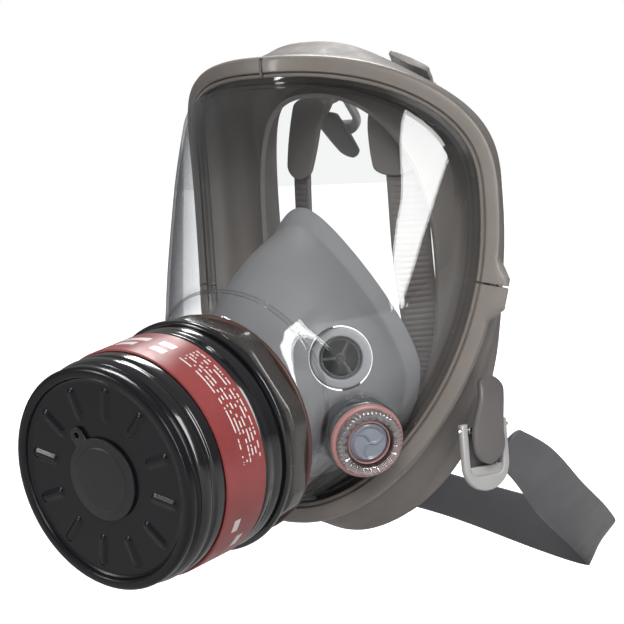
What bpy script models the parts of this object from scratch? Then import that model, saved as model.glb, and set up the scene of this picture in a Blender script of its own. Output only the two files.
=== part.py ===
"""Full face respirator with one screw-on canister.

Modelled as worn: +Z up, -Y forward (the way the wearer looks), +X to the wearer's left, metres.
The origin is the middle of the face opening.
"""

import math

import bmesh
import bpy
from mathutils import Matrix, Vector

MM = 0.001
SIDES = ((1, "left"), (-1, "right"))

# ---- driving dimensions, mm ----
RIM_HALF_WIDTH = 92.5
RIM_TOP, RIM_BOTTOM = 107.0, -107.0
RIM_WIDEST_Z = 36.0
RIM_POWER_UP, RIM_POWER_DOWN = 2.6, 2.15
RIM_FRONT_Y = 6.0
RIM_TILT = 0.65  # how far the frame turns square to the wrap
WRAP_RADIUS, WRAP_DEPTH = 127.0, 160.0
RIM_STEPS = 36

LIP_WIDTH, LIP_THICK = 9.8, 2.2
WALL_THICK, WALL_DEPTH = 2.2, 12.0
EAR_TOP, EAR_FLAT_TOP, EAR_FLAT_BOTTOM, EAR_BOTTOM = 9.0, 0.0, -13.0, -19.0
EAR_HEIGHT = 5.5
FRAME_SPLIT_Z = -3.5
FRAME_SPLIT_ANGLE = 0.002  # half of the split between the frame's halves, radians of the rim angle
SCREW_AT = (-1.3, 8.0)  # inset and depth of the frame screws from the rim
SCREW_R, SCREW_HEAD_R, SCREW_HOLE_R, SCREW_SEAT_R = 1.1, 2.3, 1.45, 2.7

LENS_THICK = 2.0
LENS_EDGE_INSET = 12.7
LENS_SEAT_INSET, LENS_SEAT_DEPTH = 3.4, 2.6  # the lens's edge inside the frame's channel
LENS_ROWS = 8
LENS_SWELL_LOW, LENS_SWELL_TOP, LENS_FULL_Z = 46.0, 6.0, -10.0
COLLAR_SHARE = 0.17
SEAL_THICK, SEAL_INSET = 2.6, 4.4
SEAL_FRONT = 13.0  # where the seal leaves the frame's channel
FLARE_LENGTH, FOREHEAD_LIFT, CHIN_DROP = 22.0, 12.0, 19.0

PORT_DROOP = math.radians(7.5)
PORT_AXIS = Vector((0.0, math.cos(PORT_DROOP), math.sin(PORT_DROOP)))
CANISTER_FRONT = Vector((0.0, -118.0, -64.0))  # centre of the canister's front rim
CANISTER_RIM_R, CANISTER_BODY_R, CANISTER_FLANGE_R = 49.5, 51.3, 53.0
CANISTER_LENGTH = 64.0
BAND_START, BAND_END = 22.0, 48.0
RECESS_R, RECESS_DEPTH = 44.5, 2.2
RIB_COUNT, RIB_INNER, RIB_OUTER = 12, 27.0, 40.5
INLET_R = 9.0
NECK_R, NECK_BORE_R, NECK_END = 20.0, 14.0, 83.0
CARBON_FRONT, CARBON_BACK = 27.6, 55.0
SCREEN_THICK, INNER_GAP = 0.8, 0.4
PLEAT_STEP, PLEAT_FRONT, PLEAT_DEPTH, PAPER_BACK = 7.6, 19.5, 0.9, 26.0
PLUG_HOLE_ANGLE, PLUG_HOLE_AT, PLUG_HOLE_R = math.radians(-30.0), 15.4, 1.1
LENS_PORT_S = 81.0  # lens sealing face, measured from the canister's front rim
LENS_PORT_R, LENS_PORT_BORE = 40.5, 35.5
LENS_PORT_GROW = 5.6  # the port's flange is wider above the axis
NUT_FRONT, NUT_BACK, NUT_R = 66.5, 78.0, 51.5
NUT_STEPS, NUT_CORNERS, NUT_FLAT_DEPTH = 32, 8, 2.3
NUT_TURN = math.radians(8.0)

SIDE_PORT_AZ, SIDE_PORT_EL = math.radians(57.0), math.radians(-11.0)
SIDE_PORT_BASE = (46.0, -1.0, -62.0)
SIDE_PORT_R = 16.6

VALVE_CENTRE = (34.0, 6.0, -30.0)
VALVE_AZ, VALVE_EL = math.radians(42.0), math.radians(7.0)
VALVE_R = 14.3
CUP_HALF_WIDTH, CUP_THICK = 49.0, 2.2

UPPER_BUCKLE = (27.0, 86.0, 85.0)
LOWER_BUCKLE = (73.0, 56.0, -69.0)
LOWER_FACE, LOWER_ACROSS = (0.94, -0.34, 0.0), (0.34, 0.94, 0.0)
BUCKLE_THICK, BUCKLE_LEG, BUCKLE_PIN_END = 3.4, 3.6, 3.2
PIN_R, PIN_BORE_R = 0.85, 1.15
STRAP_THICK = 2.4

# ---- scene, collections, materials ----
for old in list(bpy.data.objects):
    bpy.data.objects.remove(old, do_unlink=True)

PARTS = bpy.data.collections.new("full_face_respirator")
CUTTERS = bpy.data.collections.new("cutters")
for group in (PARTS, CUTTERS):
    bpy.context.scene.collection.children.link(group)


def material(name, colour, roughness, metallic=0.0, alpha=1.0):
    made = bpy.data.materials.new(name)
    made.use_nodes = True
    shader = made.node_tree.nodes["Principled BSDF"]
    shader.inputs["Base Color"].default_value = (*colour, 1.0)
    shader.inputs["Roughness"].default_value = roughness
    shader.inputs["Metallic"].default_value = metallic
    shader.inputs["Alpha"].default_value = alpha
    made.diffuse_color = (*colour, alpha)
    return made


CLEAR = material("clear_polycarbonate", (0.90, 0.93, 0.95), 0.03, alpha=0.25)
TAUPE = material("taupe_frame", (0.17, 0.145, 0.125), 0.38, 0.2)
SEAL = material("grey_elastomer", (0.20, 0.185, 0.17), 0.55)
CUP = material("nose_cup_rubber", (0.24, 0.24, 0.245), 0.5)
CUP_VALVE = material("valve_grey", (0.33, 0.33, 0.335), 0.4)
BLACK = material("black_enamel", (0.012, 0.012, 0.014), 0.16)
RUBBER = material("black_rubber", (0.015, 0.015, 0.016), 0.5)
RED = material("red_label", (0.38, 0.07, 0.06), 0.3)
PINK = material("rose_silicone", (0.62, 0.24, 0.21), 0.35)
BROWN = material("brown_gasket", (0.22, 0.09, 0.06), 0.45)
STRAP = material("strap_rubber", (0.095, 0.095, 0.10), 0.6)
BUCKLE = material("buckle_grey", (0.36, 0.35, 0.34), 0.35)
CHROME = material("bright_metal", (0.75, 0.75, 0.76), 0.12, 1.0)
CARBON = material("carbon_granules", (0.02, 0.02, 0.02), 0.9)
PAPER = material("filter_paper", (0.78, 0.77, 0.72), 0.85)


# ---- helpers ----
def metres(point):
    return Vector(point) * MM


def direction(azimuth, elevation, side=1):
    """Unit vector; azimuth 0 looks forward (-Y), 90 degrees to the given side."""
    level = math.cos(elevation)
    return Vector((side * math.sin(azimuth) * level, -math.cos(azimuth) * level, math.sin(elevation)))


def mirrored(point, side):
    """The point or direction given for the wearer's left, on the given side."""
    return Vector((side * point[0], point[1], point[2]))


def frame_at(origin, axis, across=(1.0, 0.0, 0.0)):
    """Matrix whose local +Z is the axis and whose local +X lies nearest to across."""
    z = Vector(axis).normalized()
    x = Vector(across)
    x = (x - z * x.dot(z)).normalized()
    y = z.cross(x)
    turn = Matrix((x, y, z)).transposed().to_4x4()
    return Matrix.Translation(metres(origin)) @ turn


def add(name, mesh, mat, matrix=None, collection=None):
    item = bpy.data.objects.new(name, mesh)
    (collection or PARTS).objects.link(item)
    if matrix is not None:
        item.matrix_world = matrix
    if mat is not None:
        mesh.materials.append(mat)
    return item


def smooth(mesh, angle=35.0):
    mesh.shade_smooth()
    mesh.set_sharp_from_angle(angle=math.radians(angle))


def turned(name, profile, mat, matrix, steps=40, collection=None):
    """Ring or disc from (radius, height) points in mm; a profile off the axis closes on itself."""
    on_axis = profile[0][0] == 0.0
    area = 0.0
    for (r0, h0), (r1, h1) in zip(profile, profile[1:] + profile[:1]):
        area += r0 * h1 - r1 * h0
    points = profile if area < 0.0 else profile[::-1]
    mesh = bpy.data.meshes.new(name)
    verts = [(r * MM, 0.0, h * MM) for r, h in points]
    edges = [(i, i + 1) for i in range(len(points) - 1)]
    if not on_axis:
        edges.append((len(points) - 1, 0))
    mesh.from_pydata(verts, edges, [])
    item = add(name, mesh, mat, matrix, collection)
    screw = item.modifiers.new("turn", "SCREW")
    screw.steps = screw.render_steps = steps
    screw.use_merge_vertices = True
    screw.merge_threshold = 0.00001
    screw.use_smooth_shade = True
    return item


def loft(name, rings, mat, loop=False, capped=True, facing=None):
    """Skin through rings of points (mm): loop joins last to first, capped closes the ends.

    An open skin turns its faces towards facing."""
    work = bmesh.new()
    rows = [[work.verts.new(metres(p)) for p in ring] for ring in rings]
    count = len(rows[0])
    pairs = list(zip(rows, rows[1:])) + ([(rows[-1], rows[0])] if loop else [])
    for low, high in pairs:
        for i in range(count):
            j = (i + 1) % count
            work.faces.new((low[i], low[j], high[j], high[i]))
    if capped and not loop:
        work.faces.new(rows[0])
        work.faces.new(rows[-1][::-1])
    bmesh.ops.recalc_face_normals(work, faces=work.faces)
    if facing is not None:
        total = sum((face.normal * face.calc_area() for face in work.faces), Vector())
        if total.dot(Vector(facing)) < 0.0:
            bmesh.ops.reverse_faces(work, faces=work.faces)
    mesh = bpy.data.meshes.new(name)
    work.to_mesh(mesh)
    work.free()
    smooth(mesh)
    return add(name, mesh, mat)


def spread(start, end, count):
    """Evenly spaced values from start to end, both included."""
    return [start + (end - start) * i / count for i in range(count + 1)]


def outline(name, loops, thickness, mat, matrix, collection=None):
    """Flat piece from closed outlines (mm; the first is the edge, the others are windows)."""
    curve = bpy.data.curves.new(name + "_outline", "CURVE")
    curve.dimensions = "2D"
    curve.fill_mode = "BOTH"
    curve.extrude = thickness * MM / 2
    for points in loops:
        spline = curve.splines.new("POLY")
        spline.points.add(len(points) - 1)
        for slot, (x, y) in zip(spline.points, points):
            slot.co = (x * MM, y * MM, 0.0, 1.0)
        spline.use_cyclic_u = True
    drawn = bpy.data.objects.new(name + "_drawn", curve)
    PARTS.objects.link(drawn)
    shape = drawn.evaluated_get(bpy.context.evaluated_depsgraph_get())
    mesh = bpy.data.meshes.new_from_object(shape)
    bpy.data.objects.remove(drawn)
    weld = bmesh.new()
    weld.from_mesh(mesh)
    bmesh.ops.remove_doubles(weld, verts=weld.verts, dist=0.00001)
    bmesh.ops.recalc_face_normals(weld, faces=weld.faces)
    weld.to_mesh(mesh)
    weld.free()
    mesh.materials.clear()
    return add(name, mesh, mat, matrix, collection)


def rod(name, start, end, radius, mat, sides=12, collection=None):
    """Straight round bar between two points, mm."""
    a, b = metres(start), metres(end)
    work = bmesh.new()
    bmesh.ops.create_cone(
        work,
        cap_ends=True,
        segments=sides,
        radius1=radius * MM,
        radius2=radius * MM,
        depth=(b - a).length,
    )
    mesh = bpy.data.meshes.new(name)
    work.to_mesh(mesh)
    work.free()
    smooth(mesh)
    matrix = frame_at((a + b) / 2 / MM, b - a, (0.3, 0.9, 0.1))
    return add(name, mesh, mat, matrix, collection)


def cut(item, cutter):
    cutter.hide_render = True
    cutter.display_type = "WIRE"
    boolean = item.modifiers.new("cut", "BOOLEAN")
    boolean.operation = "DIFFERENCE"
    boolean.solver = "EXACT"
    boolean.object = cutter


def spline_points(points, per_span):
    """Catmull-Rom curve through the points."""
    pts = [Vector(p) for p in points]
    pts = [2 * pts[0] - pts[1]] + pts + [2 * pts[-1] - pts[-2]]
    out = []
    for a, b, c, d in zip(pts, pts[1:], pts[2:], pts[3:]):
        for k in range(per_span):
            t = k / per_span
            out.append(
                b
                + (c - a) * t / 2
                + (2 * a - 5 * b + 4 * c - d) * t**2 / 2
                + (3 * b - a - 3 * c + d) * t**3 / 2
            )
    out.append(pts[-2])
    return out


def ribbon(name, path, faces, widths, thickness, mat, per_span=4):
    """Flat strap: faces are the outward normals and widths the widths at the path's points."""
    line = spline_points(path, per_span)
    normals = spline_points(faces, per_span)
    spans = spline_points([(w, 0, 0) for w in widths], per_span)
    rings = []
    for i, here in enumerate(line):
        ahead = line[min(i + 1, len(line) - 1)] - line[max(i - 1, 0)]
        across = ahead.cross(normals[i]).normalized()
        up = across.cross(ahead).normalized()
        half, depth = across * spans[i].x / 2, up * thickness / 2
        low, high = here - depth, here + depth
        rings.append([low - half, low + half, high + half, high - half])
    return loft(name, rings, mat)


# ---- the rim that lens, frame and face seal share ----
def rim_xz(angle):
    """Front view of the rim; angle 0 is the top, positive to the wearer's left."""
    up = math.cos(angle) >= 0.0
    power = RIM_POWER_UP if up else RIM_POWER_DOWN
    reach = (RIM_TOP if up else -RIM_BOTTOM) + (-RIM_WIDEST_Z if up else RIM_WIDEST_Z)
    s, c = math.sin(angle), math.cos(angle)
    x = RIM_HALF_WIDTH * math.copysign(abs(s) ** (2 / power), s)
    z = RIM_WIDEST_Z + reach * math.copysign(abs(c) ** (2 / power), c)
    return x, z


def rim_depth(x, z):
    across = min(abs(x) / WRAP_RADIUS, 0.98)
    return RIM_FRONT_Y + 0.025 * z + WRAP_DEPTH * (1.0 - math.sqrt(1.0 - across * across))


def rim_point(angle, inset=0.0, depth=0.0):
    """Point on the rim, moved inwards along the wrap and rearwards square to it."""
    step = 0.01
    ends = []
    for a in (angle - step, angle, angle + step):
        x, z = rim_xz(a)
        ends.append(Vector((x, rim_depth(x, z), z)))
    tangent = (ends[2] - ends[0]).normalized()
    base = ends[1]
    slope = (rim_depth(base.x + 0.5, base.z) - rim_depth(base.x - 0.5, base.z)) * RIM_TILT
    rearward = Vector((-slope, 1.0, 0.0))
    rearward = (rearward - tangent * rearward.dot(tangent)).normalized()
    inward = rearward.cross(tangent)
    return base + inward * inset + rearward * depth


def rim_angles(steps=RIM_STEPS):
    return [2 * math.pi * (i + 0.5) / steps for i in range(steps)]


def ear(z):
    """Outward growth of the frame at the joint between its halves."""
    if EAR_FLAT_BOTTOM <= z <= EAR_FLAT_TOP:
        return EAR_HEIGHT
    if EAR_FLAT_TOP < z < EAR_TOP:
        return EAR_HEIGHT * (EAR_TOP - z) / (EAR_TOP - EAR_FLAT_TOP)
    if EAR_BOTTOM < z < EAR_FLAT_BOTTOM:
        return EAR_HEIGHT * (z - EAR_BOTTOM) / (EAR_FLAT_BOTTOM - EAR_BOTTOM)
    return 0.0


def rim_angle_at(z):
    """Angle on the wearer's left at which the rim is at this height."""
    low, high = 0.0, math.pi
    for _ in range(40):
        middle = (low + high) / 2
        if rim_xz(middle)[1] > z:
            low = middle
        else:
            high = middle
    return (low + high) / 2


def frame_section(angle):
    """Channel of the lens frame: front lip and outer wall, with softened outer corner."""
    grow = -ear(rim_xz(angle)[1])
    corners = (
        (LIP_WIDTH, 0.4),
        (LIP_WIDTH - 0.8, -0.4),
        (1.5, -0.4),
        (grow + 0.2, 0.9),
        (grow, 2.2),
        (grow, WALL_DEPTH),
        (WALL_THICK, WALL_DEPTH),
        (WALL_THICK, LIP_THICK),
        (LIP_WIDTH, LIP_THICK),
    )
    return [rim_point(angle, inset, depth) for inset, depth in corners]


def make_frame():
    split = rim_angle_at(FRAME_SPLIT_Z)
    marks = [rim_angle_at(z) for z in (EAR_TOP, EAR_FLAT_TOP, EAR_FLAT_BOTTOM, EAR_BOTTOM)]
    ranges = {
        "upper_frame": (-split + FRAME_SPLIT_ANGLE, split - FRAME_SPLIT_ANGLE),
        "lower_frame": (split + FRAME_SPLIT_ANGLE, 2 * math.pi - split - FRAME_SPLIT_ANGLE),
    }
    for name, (start, end) in ranges.items():
        angles = {start, end}
        angles.update(a for a in rim_angles() if start + 0.03 < a < end - 0.03)
        angles.update(a - 2 * math.pi for a in rim_angles() if start + 0.03 < a - 2 * math.pi < end - 0.03)
        for mark in marks:
            for copy in (mark, -mark, 2 * math.pi - mark):
                if start + 0.004 < copy < end - 0.004:
                    angles.add(copy)
        body = loft(name, [frame_section(a) for a in sorted(angles)], TAUPE)
        for side, word in SIDES:
            centre = rim_point(side * split, *SCREW_AT)
            low = centre + Vector((0, 0, -30))
            high = centre + Vector((0, 0, 11))
            shaft = rod(f"{name}_hole_{word}", low, high, SCREW_HOLE_R, None, 16, CUTTERS)
            cut(body, shaft)
            if name == "lower_frame":
                seat = centre + Vector((0, 0, -8.5))
                cut(body, rod(f"{name}_seat_{word}", low, seat, SCREW_SEAT_R, None, 20, CUTTERS))
    for side, word in SIDES:
        centre = rim_point(side * split, *SCREW_AT)
        place = frame_at(centre, (0, 0, 1))
        profile = [
            (0.0, 9.0), (SCREW_R, 8.4), (SCREW_R, -8.8), (SCREW_HEAD_R, -8.8), (SCREW_HEAD_R, -10.4),
            (SCREW_HEAD_R - 0.7, -11.2), (0.0, -11.2),
        ]
        turned(f"frame_screw_{word}", profile, CHROME, place, 20)


# ---- lens ----
def rim_reach(x, z):
    """0 at the widest middle of the rim's front view, 1 on the rim."""
    up = z >= RIM_WIDEST_Z
    power = RIM_POWER_UP if up else RIM_POWER_DOWN
    height = (RIM_TOP - RIM_WIDEST_Z) if up else (RIM_WIDEST_Z - RIM_BOTTOM)
    total = (abs(x) / RIM_HALF_WIDTH) ** power + (abs(z - RIM_WIDEST_Z) / height) ** power
    return min(total ** (1 / power), 1.0)


def lens_forward(x, z):
    """How far the lens stands in front of the rim's wrap."""
    level = min(max((z - LENS_FULL_Z) / (RIM_TOP - LENS_FULL_Z), 0.0), 1.0)
    swell = LENS_SWELL_LOW + (LENS_SWELL_TOP - LENS_SWELL_LOW) * level**0.9
    return swell * (1.0 - rim_reach(x, z) ** 3)


def lens_y(x, z):
    return rim_depth(x, z) - lens_forward(x, z)


def port_point(angle, radius, s):
    """Point round the canister's axis, s mm behind the canister's front rim."""
    up = Vector((0.0, -math.sin(PORT_DROOP), math.cos(PORT_DROOP)))
    side = Vector((1.0, 0.0, 0.0))
    return CANISTER_FRONT + PORT_AXIS * s + (side * math.sin(angle) + up * math.cos(angle)) * radius


def port_radius(angle):
    return LENS_PORT_R + LENS_PORT_GROW * (0.5 + 0.5 * math.cos(angle))


def lens_ray(angle, skin):
    """Lens surface from its port to its edge, skin mm under the outside, in LENS_ROWS equal steps."""
    near = port_point(angle, port_radius(angle) + 0.5 - skin * 0.8, LENS_PORT_S + 1.0 + skin)
    far = rim_point(angle, LENS_EDGE_INSET + skin)
    fine = []
    for share in spread(0.0, 1.0, 80):
        x = near.x + (far.x - near.x) * share
        z = near.z + (far.z - near.z) * share
        rise = min(share / COLLAR_SHARE, 1.0)
        blend = rise * rise * (3.0 - 2.0 * rise)
        fine.append(Vector((x, near.y + (lens_y(x, z) + skin - near.y) * blend, z)))
    travelled = [0.0]
    for p, q in zip(fine, fine[1:]):
        travelled.append(travelled[-1] + (q - p).length)
    out = []
    k = 0
    for goal in spread(0.0, travelled[-1], LENS_ROWS):
        while k < len(fine) - 2 and travelled[k + 1] < goal:
            k += 1
        step = (goal - travelled[k]) / (travelled[k + 1] - travelled[k])
        out.append(fine[k].lerp(fine[k + 1], min(step, 1.0)))
    return out


def make_lens():
    angles = rim_angles()
    outside = [
        [port_point(a, LENS_PORT_BORE, LENS_PORT_S) for a in angles],
        [port_point(a, port_radius(a) - 0.6, LENS_PORT_S) for a in angles],
    ]
    outside += [list(ring) for ring in zip(*[lens_ray(a, 0.0) for a in angles])]
    outside.append([rim_point(a, LENS_EDGE_INSET - 0.6, LENS_SEAT_DEPTH) for a in angles])
    outside.append([rim_point(a, LENS_SEAT_INSET, LENS_SEAT_DEPTH) for a in angles])
    inside = [[port_point(a, LENS_PORT_BORE, LENS_PORT_S + LENS_THICK) for a in angles]]
    inside += [list(ring) for ring in zip(*[lens_ray(a, LENS_THICK) for a in angles])]
    back = LENS_SEAT_DEPTH + LENS_THICK
    inside.append([rim_point(a, LENS_EDGE_INSET + LENS_THICK - 0.4, back) for a in angles])
    inside.append([rim_point(a, LENS_SEAT_INSET, back) for a in angles])
    lens = loft("lens", outside + inside[::-1], CLEAR, loop=True)
    for side, word in SIDES:
        axis = direction(SIDE_PORT_AZ, SIDE_PORT_EL, side)
        base = mirrored(SIDE_PORT_BASE, side)
        low, high = base - axis * 14, base + axis * 22
        cut(lens, rod(f"side_hole_{word}", low, high, SIDE_PORT_R + 0.6, None, 32, CUTTERS))


# ---- face seal ----
def opening_point(angle, half_width, top, bottom, y_mid, y_side):
    """Point on the opening's edge: pear-shaped, deeper at the temples."""
    s, c = math.sin(angle), math.cos(angle)
    middle = (top + bottom) / 2 + 8.0
    reach = (top - middle) if c >= 0 else (middle - bottom)
    x = half_width * math.copysign(abs(s) ** 0.85, s)
    z = middle + reach * math.copysign(abs(c) ** 0.85, c)
    y = y_mid + (y_side - y_mid) * (x / half_width) ** 2
    return Vector((x, y, z))


def make_face_seal():
    angles = rim_angles()
    rings = [[rim_point(a, SEAL_INSET, depth) for a in angles] for depth in (7.6, SEAL_FRONT)]
    for inwards, back in ((1.5, 8.0), (5.0, 15.0), (9.5, 21.5)):
        row = []
        for a in angles:
            forehead = max(math.cos(a), 0.0) ** 8
            chin = max(-math.cos(a), 0.0)
            point = rim_point(a, SEAL_INSET, SEAL_FRONT)
            point.x -= inwards * math.sin(a)
            point.z += (forehead * FOREHEAD_LIFT - chin * CHIN_DROP) * back / FLARE_LENGTH
            point.z -= 0.4 * inwards * math.cos(a)
            point.y += back * (1.0 + 0.4 * chin)
            row.append(point)
        rings.append(row)
    for half_width, top, bottom, y_mid, y_side in (
        (66.0, 105.0, -115.0, 50.0, 85.0),
        (61.0, 98.0, -107.0, 51.0, 82.0),
        (55.0, 91.0, -93.0, 47.0, 72.0),
        (51.0, 87.0, -84.0, 41.0, 60.0),
    ):
        rings.append([opening_point(a, half_width, top, bottom, y_mid, y_side) for a in angles])
    seal = loft("face_seal", rings, SEAL, capped=False)
    shell = seal.modifiers.new("shell", "SOLIDIFY")
    shell.thickness = SEAL_THICK * MM
    shell.offset = 0.0


# ---- nose cup and its two inhalation valves ----
def cup_edge(angle):
    """Rear edge of the nose cup: narrow over the nose, wide at the cheeks."""
    s, c = math.sin(angle), math.cos(angle)
    z = -38.0 + (74.0 if c >= 0 else 48.0) * c
    narrow = 1.0 - 0.42 * max(c, 0.0) ** 1.3
    x = CUP_HALF_WIDTH * s * narrow
    y = 34.0 + 10.0 * (x / CUP_HALF_WIDTH) ** 2 - 6.0 * max(c, 0.0)
    return Vector((x, y, z))


def cup_ring(angle, share):
    """Nose cup surface from its front collar (0) to its rear edge (1)."""
    front = port_point(angle, 29.0, 97.0)
    rear = cup_edge(angle)
    bulge = math.sin(math.pi * min(share * 1.15, 1.0)) * (6.0 + 3.0 * math.cos(angle))
    mixed = front.lerp(rear, share)
    outward = Vector((math.sin(angle), -0.35, math.cos(angle) * 0.6)).normalized()
    return mixed + outward * bulge


def make_nose_cup():
    angles = rim_angles(26)
    rings = [[port_point(a, 25.2, 89.0) for a in angles], [port_point(a, 25.4, 95.5) for a in angles]]
    rings += [[cup_ring(a, share) for a in angles] for share in (0.0, 0.15, 0.32, 0.5, 0.68, 0.85, 1.0)]
    cup = loft("nose_cup", rings, CUP, capped=False)
    shell = cup.modifiers.new("shell", "SOLIDIFY")
    shell.thickness = CUP_THICK * MM
    shell.offset = 0.0
    for side, word in SIDES:
        axis = direction(VALVE_AZ, VALVE_EL, side)
        centre = mirrored(VALVE_CENTRE, side)
        low, high = centre - axis * 22, centre + axis * 12
        cut(cup, rod(f"valve_hole_{word}", low, high, VALVE_R + 0.4, None, 32, CUTTERS))
        place = frame_at(centre, axis, (0, 0, 1))
        seat = [(9.6, 3.0), (VALVE_R, 3.0), (VALVE_R, -4.0), (VALVE_R - 2.2, -6.0), (9.6, -6.0)]
        turned(f"inhale_seat_{word}", seat, CUP_VALVE, place, 24)
        retainer = [(9.9, 5.4), (VALVE_R, 5.4), (VALVE_R, 3.4), (9.9, 3.4)]
        turned(f"inhale_retainer_{word}", retainer, CUP_VALVE, place, 24)
        make_spider(f"inhale_spider_{word}", 9.2, 2.2, 1.4, place, 1.6)
        flap = [(0.0, -6.4), (10.8, -6.4), (10.8, -7.2), (0.0, -7.2)]
        turned(f"inhale_flap_{word}", flap, PINK, place, 20)


def make_spider(name, radius, hub, bar, place, height, z=0.0):
    """Hub with three arms inside a thin ring, all one flat moulding."""
    inner = radius - bar
    third = 2 * math.pi / 3
    loops = [[(radius * math.cos(a), radius * math.sin(a)) for a in spread(0.0, 2 * math.pi, 20)[:-1]]]
    for k in range(3):
        arm = math.pi / 2 + third * k
        far, near = math.asin(bar / 2 / inner), math.asin(bar / 2 / hub)
        outer_side = spread(arm + far, arm + third - far, 4)
        hub_side = spread(arm + third - near, arm + near, 2)
        window = [(inner * math.cos(a), inner * math.sin(a)) for a in outer_side]
        window += [(hub * math.cos(a), hub * math.sin(a)) for a in hub_side]
        loops.append(window)
    return outline(name, loops, height, CUP_VALVE, place @ Matrix.Translation((0, 0, z * MM)))


# ---- side ports ----
def make_side_ports():
    for side, word in SIDES:
        axis = direction(SIDE_PORT_AZ, SIDE_PORT_EL, side)
        place = frame_at(mirrored(SIDE_PORT_BASE, side), axis, (0, 0, 1))
        r = SIDE_PORT_R
        body = [(r - 3.4, 11.0), (r, 11.0), (r, -3.0), (r - 5.0, -3.0), (r - 5.0, -2.0), (r - 3.4, -2.0)]
        turned(f"side_port_{word}", body, CLEAR, place, 20)
        seal = [(r - 4.2, 14.4), (r - 0.4, 14.4), (r + 0.3, 13.4), (r - 0.4, 11.3), (r - 4.2, 11.3)]
        turned(f"side_seal_{word}", seal, PINK, place, 20)
        make_spider(f"side_seat_{word}", r - 3.8, 3.0, 1.6, place, 1.8, z=-0.8)
        disc = [(0.0, 1.4), (r - 5.2, 1.0), (r - 5.2, 0.4), (0.0, 0.4)]
        turned(f"exhale_disc_{word}", disc, PINK, place, 20)
        cover = [
            (0.0, 16.4), (9.6, 15.4), (10.8, 18.4), (r - 2.4, 18.4), (r - 1.2, 17.4), (r - 1.2, 14.7),
            (r - 4.6, 14.7), (r - 4.6, 7.0), (r - 6.2, 7.0), (r - 6.2, 13.8), (0.0, 13.8),
        ]
        turned(f"side_cover_{word}", cover, CLEAR, place, 20)


# ---- centre adapter ----
def canister_frame(s=0.0):
    """Local +Z runs along the canister's axis towards the face, from its front rim."""
    return frame_at(CANISTER_FRONT + PORT_AXIS * s, PORT_AXIS)


def make_adapter():
    place = canister_frame()
    rings = []
    for s, shrink in ((NUT_FRONT, 2.6), (NUT_FRONT + 1.6, 0.0), (NUT_BACK, 0.0)):
        ring = []
        for i in range(NUT_STEPS):
            angle = 2 * math.pi * i / NUT_STEPS
            fold = (angle + NUT_TURN) % (2 * math.pi / NUT_CORNERS) - math.pi / NUT_CORNERS
            flat = (NUT_R - NUT_FLAT_DEPTH) / math.cos(fold)
            ring.append(port_point(angle, min(flat, NUT_R) - shrink, s))
        rings.append(ring)
    skirt, hole, floor = 38.4, 25.4, NUT_FRONT + 3.4
    for s, radius in ((NUT_BACK, skirt), (floor, skirt), (floor, hole), (NUT_FRONT, hole)):
        rings.append([port_point(2 * math.pi * i / NUT_STEPS, radius, s) for i in range(NUT_STEPS)])
    loft("adapter_nut", rings, TAUPE, loop=True)
    gasket = [(36.0, 78.3), (50.4, 78.3), (50.8, 79.5), (50.4, 80.6), (36.0, 80.6)]
    turned("adapter_gasket", gasket, BROWN, place, 24)
    body = [
        (20.7, 67.0), (24.8, 67.0), (24.8, 70.6), (35.0, 70.6), (35.0, 83.6), (37.6, 83.6), (37.6, 86.6),
        (23.8, 86.6), (23.8, 98.0), (18.8, 98.0), (18.8, 94.2), (18.8, 88.4), (13.0, 88.4), (13.0, 85.8),
        (20.7, 85.8),
    ]
    turned("adapter_body", body, TAUPE, place, 24)
    make_spider("adapter_spider", 18.4, 4.0, 2.2, place, 1.6, z=92.0)
    turned("adapter_flap", [(0.0, 93.4), (16.6, 93.4), (16.6, 94.2), (0.0, 94.2)], PINK, place, 24)


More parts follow.
